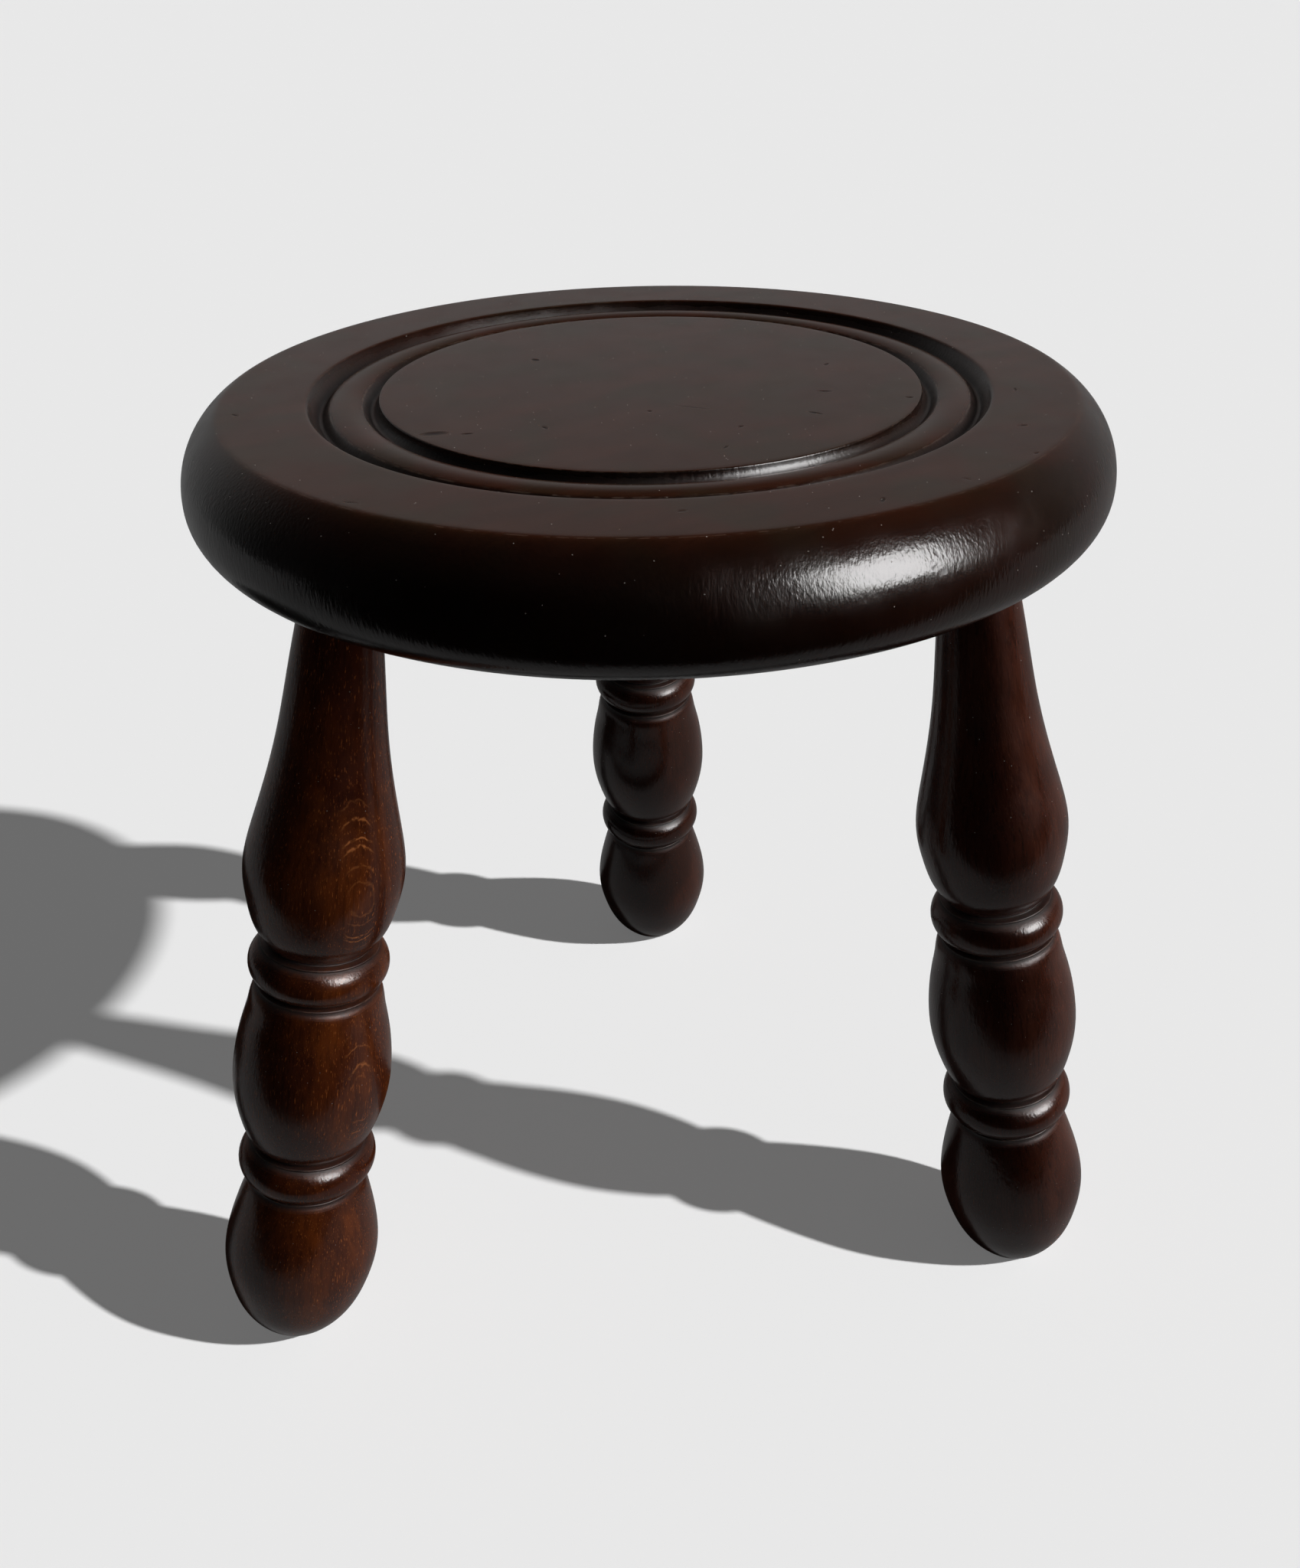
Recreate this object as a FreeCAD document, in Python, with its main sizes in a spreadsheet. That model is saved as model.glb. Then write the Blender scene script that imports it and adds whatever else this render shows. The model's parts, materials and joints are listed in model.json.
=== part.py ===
import FreeCAD, Part
import math
import os
import re
import Sketcher
from enum import IntEnum
from FreeCAD import Vector

# A small turned tripod stool: a round seat with a ring moulding in its top, on three splayed legs.
# Each leg ends in a round tenon, held in a blind mortise by a hidden wedge in its sawn end.
# Millimetres. +Z is up, and the origin is the centre of the flat disc in the middle of the seat's
# top. Angles about +Z are in degrees, from +X. The two front legs stand at -Y.

SIZES = {
    # Seat: outside
    "seat_diameter": 280.0,
    "seat_thickness": 34.0,
    "seat_height": 323.0,           # floor to the seat's rim
    "edge_top_swell": 13.0,         # how far the rounded edge stands out past the rim's flat
    "edge_bottom_swell": 12.0,      # and past the underside's flat
    "edge_widest_depth": 21.5,      # rim's flat down to where the edge is widest
    # Seat: ring moulding in the top, from the rim inwards
    "rim_width": 25.0,
    "rim_arris": 0.9,
    "outer_wall_run": 3.6,          # rim's inner edge to the middle of the outer groove
    "groove_depth": 4.2,            # below the rim's flat, to the edges of each groove's floor
    "groove_floor_width": 1.4,
    "groove_floor_dip": 0.3,
    "bead_flank_run": 2.6,          # middle of a groove to the bead's edge
    "bead_width": 9.5,
    "bead_edge_depth": 2.1,
    "bead_crown": 0.8,
    "inner_wall_run": 2.3,          # middle of the inner groove to the disc's edge
    "disc_arris": 0.35,
    "rim_rise": 0.8,                # the rim's flat above the disc
    # Where the legs stand
    "leg_inset": 36.6,              # seat's widest edge to a leg's axis, at the underside
    "left_front_angle": -149.0,
    "right_front_angle": -26.0,
    "rear_angle": 93.5,
    "left_front_splay_angle": 13.0,
    "right_front_splay_angle": 8.8,
    "rear_splay_angle": 8.8,
    # Tenon and mortise
    "tenon_diameter": 20.0,
    "tenon_chamfer": 1.0,
    "tenon_shank": 3.0,             # of the same diameter, below the underside
    "mortise_clearance": 0.1,       # on the radius, filled by glue
    "mortise_end_gap": 1.0,
    "mortise_roof": 4.8,            # wood left above a mortise, to the level of the grooves' floors
    "mortise_overrun": 6.0,
    # Hidden wedge and its kerf
    "grain_angle": 30.0,            # which way the seat's grain runs
    "wedge_head": 3.0,
    "wedge_tip": 1.0,
    "wedge_side_gap": 0.3,          # in from the edge of the tenon's end, each side
    "kerf_tail": 3.0,               # saw cut beyond the wedge's tip
    "kerf_stop": 5.0,               # end of the saw cut above the seat's underside
    # Turned leg, from the seat down
    "baluster_belly_radius": 24.5,
    "baluster_end_radius": 19.5,
    "upper_bead_width": 16.0,
    "upper_bead_rise": 2.4,         # above the mean of the radii at its two edges
    "vase_top_radius": 20.2,
    "vase_length": 65.4,
    "vase_belly_radius": 25.7,
    "vase_end_radius": 18.9,
    "lower_bead_width": 16.0,
    "lower_bead_rise": 4.4,
    "foot_top_radius": 18.4,
    "foot_length": 78.4,            # as turned, before it is cut level
    "foot_belly_radius": 26.2,
    "toe_radius": 2.0,
    "toe_allowance": 5.0,           # cut off the longest leg, measured on its axis
}

# Control points of the three long curves of a leg, from its top down:
# share of the curve's length, share of its belly radius.
BALUSTER_SHARES = [(0.19, 0.55), (0.40, 0.62), (0.63, 0.87), (0.77, 1.06), (0.87, 0.95)]
VASE_SHARES = [(0.14, 0.83), (0.29, 0.96), (0.60, 1.04), (0.82, 0.91)]
FOOT_SHARES = [(0.17, 0.90), (0.41, 1.07), (0.60, 0.95), (0.78, 0.79), (0.93, 0.38)]

# How far each tangent of a soft corner reaches, as a share of the corner's width or height
CORNER_SHARE = 0.55

doc = FreeCAD.newDocument("tripod_stool")
sheet = doc.addObject("Spreadsheet::Sheet", "Sizes")
for row, (name, size) in enumerate(SIZES.items(), start=1):
    sheet.set(f"A{row}", name)
    sheet.set(f"B{row}", str(size))
    sheet.setAlias(f"B{row}", name)
doc.recompute()


def bound(text):
    """The same sum, with each size's name pointing at its cell in the sheet."""
    return re.sub(r"[a-z_]+", lambda word: "Sizes." + word[0] if word[0] in SIZES else word[0], text)


def value(text):
    """What a sum over the sizes comes to now."""
    return float(sheet.evalExpression(bound(text)))


def origin_plane(body, role):
    """One of the body's own origin planes."""
    return next(plane for plane in body.Origin.OriginFeatures if plane.Role == role)


def new_body(label, placement=None):
    """An empty body whose label names its file."""
    body = doc.addObject("PartDesign::Body", label)
    body.Label = label
    if placement:
        body.setExpression("Placement", bound(placement))
    return body


def new_sketch(body, name, turn=None):
    """A sketch on the body's upright XZ plane, turned about the body's Z where asked."""
    sketch = body.newObject("Sketcher::SketchObject", name)
    sketch.AttachmentSupport = (origin_plane(body, "XZ_Plane"), [""])
    sketch.MapMode = "FlatFace"
    if turn:
        sketch.setExpression("AttachmentOffset", bound(f"placement(vector(0; 0; 0); rotationy({turn}))"))
    return sketch


class Point(IntEnum):
    """How a sketch numbers the points of a curve."""

    START = 1
    END = 2
    CENTRE = 3


class Datum(IntEnum):
    """How a sketch numbers its own axes. Its origin is the level axis's first point."""

    LEVEL_AXIS = -1
    UPRIGHT_AXIS = -2


class Straight:
    """A straight run of an outline."""

    def draw(self, sketch, start, end):
        index = sketch.addGeometry(Part.LineSegment(start, end), False)
        return index, Point.START, Point.END


class Round:
    """A circular run: bulges to the left (+1) or right (-1) of the way it is drawn."""

    def __init__(self, radius, side):
        self.radius = radius
        self.side = side

    def draw(self, sketch, start, end):
        chord = end - start
        radius = value(self.radius)
        rise = radius - math.sqrt(radius ** 2 - chord.Length ** 2 / 4)
        left = Vector(-chord.y, chord.x, 0).normalize()
        top = (start + end) / 2 + left * self.side * rise
        if self.side > 0:
            index = sketch.addGeometry(Part.Arc(end, top, start), False)
            ends = Point.END, Point.START
        else:
            index = sketch.addGeometry(Part.Arc(start, top, end), False)
            ends = Point.START, Point.END
        which = sketch.addConstraint(Sketcher.Constraint("Radius", index, radius))
        sketch.setExpression(f"Constraints[{which}]", bound(self.radius))
        return index, *ends


class Curve:
    """A smooth run, a cubic spline that leans towards its control points, given as pairs of sums."""

    def __init__(self, points):
        self.points = points

    def draw(self, sketch, start, end):
        middle = [Vector(value(x), value(y), 0) for x, y in self.points]
        curve = Part.BSplineCurve([start, *middle, end], None, None, False, 3, None, False)
        index = sketch.addGeometry(curve, False)
        # This adds a circle for each control point, the curve's two ends among them
        sketch.exposeInternalGeometry(index)
        first_circle = index + 1
        for number, (x, y) in enumerate(self.points, start=1):
            pin_point(sketch, first_circle + number, Point.CENTRE, x, y)
        return index, Point.START, Point.END


def pin_point(sketch, geometry, point, x, y):
    """Ties a point of the sketch to its two sums."""
    pairs = (("DistanceX", Datum.UPRIGHT_AXIS, x), ("DistanceY", Datum.LEVEL_AXIS, y))
    origin = (int(Datum.LEVEL_AXIS), int(Point.START))
    here = (int(geometry), int(point))
    for kind, axis, sum_text in pairs:
        if sum_text == "0":
            sketch.addConstraint(Sketcher.Constraint("PointOnObject", *here, int(axis)))
        else:
            which = sketch.addConstraint(Sketcher.Constraint(kind, *origin, *here, value(sum_text)))
            sketch.setExpression(f"Constraints[{which}]", bound(sum_text))


def draw_outline(sketch, corners, runs):
    """A closed outline: corner, run to the next corner, and so on round to the first."""
    places = [Vector(value(x), value(y), 0) for x, y in corners]
    drawn = [run.draw(sketch, places[number], places[(number + 1) % len(places)])
             for number, run in enumerate(runs)]
    for number, (index, first, _) in enumerate(drawn):
        before, _, last = drawn[number - 1]
        ends = (before, int(last), index, int(first))
        sketch.addConstraint(Sketcher.Constraint("Coincident", *ends))
        pin_point(sketch, index, first, *corners[number])
    doc.recompute()


def revolve(body, sketch):
    """Turns the outline a full circle about the body's Z."""
    turned = body.newObject("PartDesign::Revolution", sketch.Name + "_turned")
    turned.Profile = sketch
    turned.ReferenceAxis = (sketch, ["V_Axis"])
    doc.recompute()
    return turned


def cut_through(body, sketch, reach):
    """Cuts the outline's shape out of the body, the same way to both sides of the sketch."""
    before = body.Shape.Volume
    pocket = body.newObject("PartDesign::Pocket", sketch.Name + "_cut")
    pocket.Profile = sketch
    pocket.SideType = "Symmetric"
    pocket.setExpression("Length", bound(reach))
    doc.recompute()
    check_removed(body, before, pocket)
    return pocket


def check_removed(body, before, feature):
    """Stops where a cut has taken nothing away."""
    if body.Shape.Volume >= before:
        raise RuntimeError(f"{feature.Name} cuts nothing from {body.Label}")


# Heights and radii that several outlines share, as sums of the sizes
SEAT_RADIUS = "seat_diameter / 2"
RIM_OUTER = f"({SEAT_RADIUS} - edge_top_swell)"
RIM_INNER = f"({RIM_OUTER} - rim_width)"
OUTER_GROOVE = f"({RIM_INNER} - outer_wall_run)"
BEAD_OUTER = f"({OUTER_GROOVE} - bead_flank_run)"
BEAD_INNER = f"({BEAD_OUTER} - bead_width)"
INNER_GROOVE = f"({BEAD_INNER} - bead_flank_run)"
DISC_RADIUS = f"({INNER_GROOVE} - inner_wall_run)"
WIDEST = "(rim_rise - edge_widest_depth)"
UNDERSIDE = "(rim_rise - seat_thickness)"
LEG_RING = f"({SEAT_RADIUS} - leg_inset)"
TENON_RADIUS = "(tenon_diameter / 2)"
MORTISE_RADIUS = f"({TENON_RADIUS} + mortise_clearance)"


def arc_radius(half_chord, rise):
    """Radius of the arc of that half chord and rise."""
    return f"(({half_chord}) ^ 2 + ({rise}) ^ 2) / (2 * ({rise}))"


def leg_frame(leg):
    """A leg's frame: on its axis at the seat's underside, Z up the axis, X to the outside."""
    return (f"placement(vector({LEG_RING} * cos({leg}_angle); {LEG_RING} * sin({leg}_angle); "
            f"{UNDERSIDE}); rotationz({leg}_angle) * rotationy(-{leg}_splay_angle))")


def mortise_depth(leg):
    """Along the leg's axis, from the underside. Its upper corner stops below the grooves' floors."""
    wood = "seat_thickness - groove_depth - groove_floor_dip - mortise_roof"
    return f"(({wood} - {MORTISE_RADIUS} * sin({leg}_splay_angle)) / cos({leg}_splay_angle))"


def tenon_length(leg):
    """Along the leg's axis, from the underside."""
    return f"({mortise_depth(leg)} - mortise_end_gap)"


def make_seat(legs):
    """The turned seat, with one blind mortise for each leg bored from below."""
    seat = new_body("seat")
    half_floor = "groove_floor_width / 2"
    floor = "(rim_rise - groove_depth)"
    bead_edge = "(rim_rise - bead_edge_depth)"
    corners = [
        ("0", "0"),
        (f"{DISC_RADIUS} - disc_arris", "0"),
        (DISC_RADIUS, "-disc_arris"),
        (f"{INNER_GROOVE} - {half_floor}", floor),
        (f"{INNER_GROOVE} + {half_floor}", floor),
        (BEAD_INNER, bead_edge),
        (BEAD_OUTER, bead_edge),
        (f"{OUTER_GROOVE} - {half_floor}", floor),
        (f"{OUTER_GROOVE} + {half_floor}", floor),
        (RIM_INNER, "rim_rise - rim_arris"),
        (f"{RIM_INNER} + rim_arris", "rim_rise"),
        (RIM_OUTER, "rim_rise"),
        (SEAT_RADIUS, WIDEST),
        (f"{SEAT_RADIUS} - edge_bottom_swell", UNDERSIDE),
        ("0", UNDERSIDE),
    ]
    groove_floor = Round(arc_radius(half_floor, "groove_floor_dip"), -1)
    bead = Round(arc_radius("bead_width / 2", "bead_crown"), 1)
    lower_corner = Curve([
        (SEAT_RADIUS, f"{WIDEST} - {CORNER_SHARE} * (seat_thickness - edge_widest_depth)"),
        (f"{SEAT_RADIUS} - (1 - {CORNER_SHARE}) * edge_bottom_swell", UNDERSIDE),
    ])
    runs = [
        Straight(),
        Round("disc_arris", 1),
        Straight(),
        groove_floor,
        Straight(),
        bead,
        Straight(),
        groove_floor,
        Straight(),
        Round("rim_arris", 1),
        Straight(),
        Round(arc_radius("edge_widest_depth", "edge_top_swell"), 1),
        lower_corner,
        Straight(),
        Straight(),
    ]
    section = new_sketch(seat, "seat_section")
    draw_outline(section, corners, runs)
    revolve(seat, section)
    for leg in legs:
        before = seat.Shape.Volume
        mortise = seat.newObject("PartDesign::SubtractiveCylinder", f"{leg}_mortise")
        mortise.AttachmentSupport = (origin_plane(seat, "XY_Plane"), [""])
        mortise.MapMode = "FlatFace"
        lowered = "placement(vector(0; 0; -mortise_overrun); rotationz(0))"
        mortise.setExpression("AttachmentOffset", bound(f"{leg_frame(leg)} * {lowered}"))
        mortise.setExpression("Radius", bound(MORTISE_RADIUS))
        mortise.setExpression("Height", bound(f"mortise_overrun + {mortise_depth(leg)}"))
        doc.recompute()
        check_removed(seat, before, mortise)
    return seat


# Stations down a leg from the seat's underside, as sums. The leg that splays most sets the turned
# length, and the baluster takes up what the other forms leave.
LEG_HEIGHT = "(seat_height - seat_thickness)"
WIDEST_SPLAY = "max(left_front_splay_angle; right_front_splay_angle; rear_splay_angle)"
TURNED_LENGTH = f"({LEG_HEIGHT} / cos({WIDEST_SPLAY}) + toe_allowance)"
FOOT_TOP = f"({TURNED_LENGTH} - foot_length)"
LOWER_BEAD_TOP = f"({FOOT_TOP} - lower_bead_width)"
VASE_TOP = f"({LOWER_BEAD_TOP} - vase_length)"
UPPER_BEAD_TOP = f"({VASE_TOP} - upper_bead_width)"
BALUSTER_LENGTH = f"({UPPER_BEAD_TOP} - tenon_shank)"
WEDGE_END = "(kerf_stop + kerf_tail)"


def long_curve(shares, top, length, belly):
    """A leg's long curve, its control points placed by shares of its length and belly."""
    return Curve([(f"{out} * {belly}", f"-({top} + {along} * {length})") for along, out in shares])


def leg_bead(top_radius, end_radius, width, rise):
    """The round bead between two edges whose radii differ a little."""
    half_chord = f"sqrt(({width} / 2) ^ 2 + (({top_radius} - {end_radius}) / 2) ^ 2)"
    return Round(arc_radius(half_chord, rise), 1)


def kerf_plane_turn(leg):
    """Turn from a leg's XZ plane to the plane across its kerf, which opens along the seat's grain."""
    return f"grain_angle - {leg}_angle"


def make_leg(leg):
    """One turned leg with its tenon, its sawn kerf and its foot cut level with the floor."""
    body = new_body(f"{leg}_leg", leg_frame(leg))
    tenon_end = tenon_length(leg)
    corners = [
        ("0", tenon_end),
        (f"{TENON_RADIUS} - tenon_chamfer", tenon_end),
        (TENON_RADIUS, f"{tenon_end} - tenon_chamfer"),
        (TENON_RADIUS, "-tenon_shank"),
        ("baluster_end_radius", f"-{UPPER_BEAD_TOP}"),
        ("vase_top_radius", f"-{VASE_TOP}"),
        ("vase_end_radius", f"-{LOWER_BEAD_TOP}"),
        ("foot_top_radius", f"-{FOOT_TOP}"),
        ("toe_radius", f"-{TURNED_LENGTH}"),
        ("0", f"-{TURNED_LENGTH}"),
    ]
    runs = [
        Straight(),
        Straight(),
        Straight(),
        long_curve(BALUSTER_SHARES, "tenon_shank", BALUSTER_LENGTH, "baluster_belly_radius"),
        leg_bead("baluster_end_radius", "vase_top_radius", "upper_bead_width", "upper_bead_rise"),
        long_curve(VASE_SHARES, VASE_TOP, "vase_length", "vase_belly_radius"),
        leg_bead("vase_end_radius", "foot_top_radius", "lower_bead_width", "lower_bead_rise"),
        long_curve(FOOT_SHARES, FOOT_TOP, "foot_length", "foot_belly_radius"),
        Straight(),
        Straight(),
    ]
    profile = new_sketch(body, f"{leg}_profile")
    draw_outline(profile, corners, runs)
    revolve(body, profile)

    # The floor, seen along the leg's own frame, is a line tilted by the splay
    on_axis = f"({LEG_HEIGHT} / cos({leg}_splay_angle))"
    reach = "foot_belly_radius"
    tilt = f"{reach} * tan({leg}_splay_angle)"
    below = f"-({TURNED_LENGTH} + {reach})"
    floor_cut = new_sketch(body, f"{leg}_floor")
    draw_outline(
        floor_cut,
        [(f"-{reach}", below), (reach, below),
         (reach, f"-{on_axis} - {tilt}"), (f"-{reach}", f"-{on_axis} + {tilt}")],
        [Straight() for _ in range(4)])
    cut_through(body, floor_cut, f"2 * {reach}")

    kerf = new_sketch(body, f"{leg}_kerf", kerf_plane_turn(leg))
    head, tip = "wedge_head / 2", "wedge_tip / 2"
    draw_outline(
        kerf,
        [(f"-{head}", tenon_end), (f"-{tip}", WEDGE_END), (f"-{tip}", "kerf_stop"),
         (tip, "kerf_stop"), (tip, WEDGE_END), (head, tenon_end)],
        [Straight() for _ in range(6)])
    cut_through(body, kerf, "2 * tenon_diameter")
    return body


def make_wedge(leg):
    """The hidden wedge that spreads the tenon's sawn end in its mortise."""
    body = new_body(f"{leg}_tenon_wedge", leg_frame(leg))
    face = new_sketch(body, f"{leg}_wedge_face", kerf_plane_turn(leg))
    head, tip, tenon_end = "wedge_head / 2", "wedge_tip / 2", tenon_length(leg)
    draw_outline(
        face,
        [(f"-{head}", tenon_end), (f"-{tip}", WEDGE_END), (tip, WEDGE_END), (head, tenon_end)],
        [Straight() for _ in range(4)])
    pad = body.newObject("PartDesign::Pad", f"{leg}_wedge_pad")
    pad.Profile = face
    pad.SideType = "Symmetric"
    pad.setExpression("Length", bound("tenon_diameter - 2 * (tenon_chamfer + wedge_side_gap)"))
    doc.recompute()
    return body


LEGS = ("left_front", "right_front", "rear")
parts = [make_seat(LEGS)]
parts += [make_leg(leg) for leg in LEGS]
parts += [make_wedge(leg) for leg in LEGS]
doc.recompute()

for thing in doc.Objects:
    if "Invalid" in thing.State or "Error" in thing.State:
        raise RuntimeError(f"{thing.Name} is {thing.State}")
for part in parts:
    if part.Shape.isNull() or not part.Shape.isValid():
        raise RuntimeError(f"{part.Label} has no sound shape")

os.makedirs("parts", exist_ok=True)
for part in parts:
    part.Shape.exportStep(os.path.join("parts", part.Label + ".step"))
    box = part.Shape.BoundBox
    print(f"{part.Label}: {part.Shape.Volume:.0f} mm3, "
          f"x {box.XMin:.1f}..{box.XMax:.1f}, y {box.YMin:.1f}..{box.YMax:.1f}, "
          f"z {box.ZMin:.1f}..{box.ZMax:.1f}")
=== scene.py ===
"""A small turned tripod stool in dark stained beech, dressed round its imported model.

Sizes in the classes are millimetres. Meshes are in metres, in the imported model's frame: +Z is up,
and the origin is the middle of the disc in the seat's top.
"""

import json
import logging
import math
from collections.abc import Iterable
from dataclasses import dataclass, field
from enum import Enum

import bpy
from mathutils import Matrix, Vector


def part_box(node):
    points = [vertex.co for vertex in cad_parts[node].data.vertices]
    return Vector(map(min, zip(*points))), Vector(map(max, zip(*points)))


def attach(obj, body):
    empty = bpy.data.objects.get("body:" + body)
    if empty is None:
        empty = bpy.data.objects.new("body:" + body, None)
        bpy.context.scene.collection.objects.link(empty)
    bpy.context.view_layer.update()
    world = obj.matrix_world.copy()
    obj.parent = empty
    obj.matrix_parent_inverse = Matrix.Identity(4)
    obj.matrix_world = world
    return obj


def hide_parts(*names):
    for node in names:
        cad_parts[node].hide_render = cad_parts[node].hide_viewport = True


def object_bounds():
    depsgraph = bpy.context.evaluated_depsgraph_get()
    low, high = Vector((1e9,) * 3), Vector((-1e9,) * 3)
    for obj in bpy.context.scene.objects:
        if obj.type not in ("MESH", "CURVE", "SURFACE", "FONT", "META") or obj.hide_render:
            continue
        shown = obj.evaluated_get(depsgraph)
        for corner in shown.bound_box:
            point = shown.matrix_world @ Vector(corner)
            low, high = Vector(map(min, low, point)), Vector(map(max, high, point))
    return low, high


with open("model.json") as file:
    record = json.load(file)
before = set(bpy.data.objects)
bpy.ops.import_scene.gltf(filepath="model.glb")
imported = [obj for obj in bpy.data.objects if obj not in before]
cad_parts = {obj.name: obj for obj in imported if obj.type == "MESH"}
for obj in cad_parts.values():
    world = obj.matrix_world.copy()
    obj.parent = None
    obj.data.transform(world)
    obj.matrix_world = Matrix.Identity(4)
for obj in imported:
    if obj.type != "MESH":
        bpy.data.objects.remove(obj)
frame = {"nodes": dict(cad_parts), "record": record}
cad_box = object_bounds()

LOG = logging.getLogger("tripod_stool")
MM = 0.001
UP = Vector((0, 0, 1))
FULL_TURN = 2 * math.pi
BODY = "root"
WELD = 0.004                                    # points of a turning nearer than this in mm are one

Colour = tuple[float, float, float, float]
Source = bpy.types.Node | bpy.types.NodeSocket     # a node stands for its first output
Tree = bpy.types.NodeTree
Pair = tuple[float, float]


class LegName(Enum):
    """The three legs, by the name that their nodes start with."""

    LEFT_FRONT = "left_front"
    RIGHT_FRONT = "right_front"
    REAR = "rear"


class Corner(Enum):
    """What a corner of a turned section is, seen from outside the wood."""

    ARRIS = "arris"
    RECESS = "recess"


def linear(hex_colour: str) -> Colour:
    """Turns an sRGB hex colour into linear light.

    Args:
        hex_colour: six hex digits.

    Returns:
        The linear red, green and blue, and an alpha of one.
    """
    levels = [int(hex_colour[at:at + 2], 16) / 255 for at in (0, 2, 4)]
    light = [level / 12.92 if level <= 0.04045 else ((level + 0.055) / 1.055) ** 2.4
             for level in levels]
    return (*light, 1.0)


def add_node(tree: Tree, kind: str, inputs: dict | None = None,
             **settings: object) -> bpy.types.Node:
    """Adds a node with its settings, its values and what feeds it.

    Args:
        tree: the node tree to add to.
        kind: the node's type, without its ShaderNode prefix.
        inputs: for each input's name or number, its value or what to link to it.
        settings: the node's own settings, by their names.

    Returns:
        The new node.
    """
    node = tree.nodes.new("ShaderNode" + kind)
    for name, setting in settings.items():
        setattr(node, name, setting)
    for key, source in (inputs or {}).items():
        if isinstance(source, bpy.types.Node):
            source = source.outputs[0]
        if isinstance(source, bpy.types.NodeSocket):
            tree.links.new(source, node.inputs[key])
        else:
            node.inputs[key].default_value = source
    return node


def new_material(name: str) -> tuple[bpy.types.Material, Tree]:
    """Makes a material with nothing in it yet.

    Args:
        name: its name.

    Returns:
        The material and its empty tree.
    """
    material = bpy.data.materials.new(name)
    material.use_nodes = True
    material.node_tree.nodes.clear()
    return material, material.node_tree


def look_up(tree: Tree, place: Source, first: float, last: float,
            levels: Iterable[Pair]) -> Source:
    """Looks a coordinate up in a table of levels, which is nothing at its two ends.

    Args:
        tree: the material's tree.
        place: the coordinate, in metres.
        first: the place in mm where the table starts.
        last: the place in mm where it ends.
        levels: each place in mm between them and its level, in order.

    Returns:
        The level, straight between one place and the next.
    """
    share = add_node(tree, "MapRange", {"Value": place, "From Min": first * MM,
                                        "From Max": last * MM})
    ramp = add_node(tree, "ValToRGB", {0: share})
    stops = ramp.color_ramp.elements
    stops[0].color = stops[1].color = (0, 0, 0, 1)
    for at, level in levels:
        stops.new((at - first) / (last - first)).color = (level, level, level, 1)
    return ramp


def per_mm(*sizes: float) -> tuple[float, ...]:
    """The scales that give a pattern's features those sizes in mm, on metres."""
    return tuple(1 / (size * MM) for size in sizes)


def polar(radius: float, degrees: float, height: float = 0.0) -> Vector:
    """A point at a radius and an azimuth from +X, in the unit of the radius."""
    angle = math.radians(degrees)
    return Vector((radius * math.cos(angle), radius * math.sin(angle), height))


def axes_matrix(origin: Vector, upright: Vector, outward: Vector) -> Matrix:
    """A frame from where it lies, its Z axis, and roughly its X axis.

    Args:
        origin: where the frame lies.
        upright: its Z axis.
        outward: a direction that its X axis leans to.

    Returns:
        The matrix from the frame's coordinates to the model's.
    """
    z_axis = upright.normalized()
    x_axis = (outward - outward.project(z_axis)).normalized()
    turned = Matrix((x_axis, z_axis.cross(x_axis), z_axis)).transposed()
    return Matrix.Translation(origin) @ turned.to_4x4()


def spline_point(poles: list[Vector], share: float) -> Vector:
    """A point of the cubic B-spline that starts at its first pole and ends at its last.

    Args:
        poles: the spline's control points, four or more.
        share: how far along, from 0 to 1.

    Returns:
        The point, by de Boor's steps over even knots.
    """
    degree = 3
    spans = len(poles) - degree
    knots = [0.0] * degree + [float(knot) for knot in range(spans + 1)] + [float(spans)] * degree
    place = share * spans
    span = min(int(place), spans - 1) + degree
    work = poles[span - degree:span + 1]
    for level in range(1, degree + 1):
        for number in range(degree, level - 1, -1):
            low = knots[span - degree + number]
            high = knots[span + 1 + number - level]
            work[number] = work[number - 1].lerp(work[number], (place - low) / (high - low))
    return work[degree]


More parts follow.
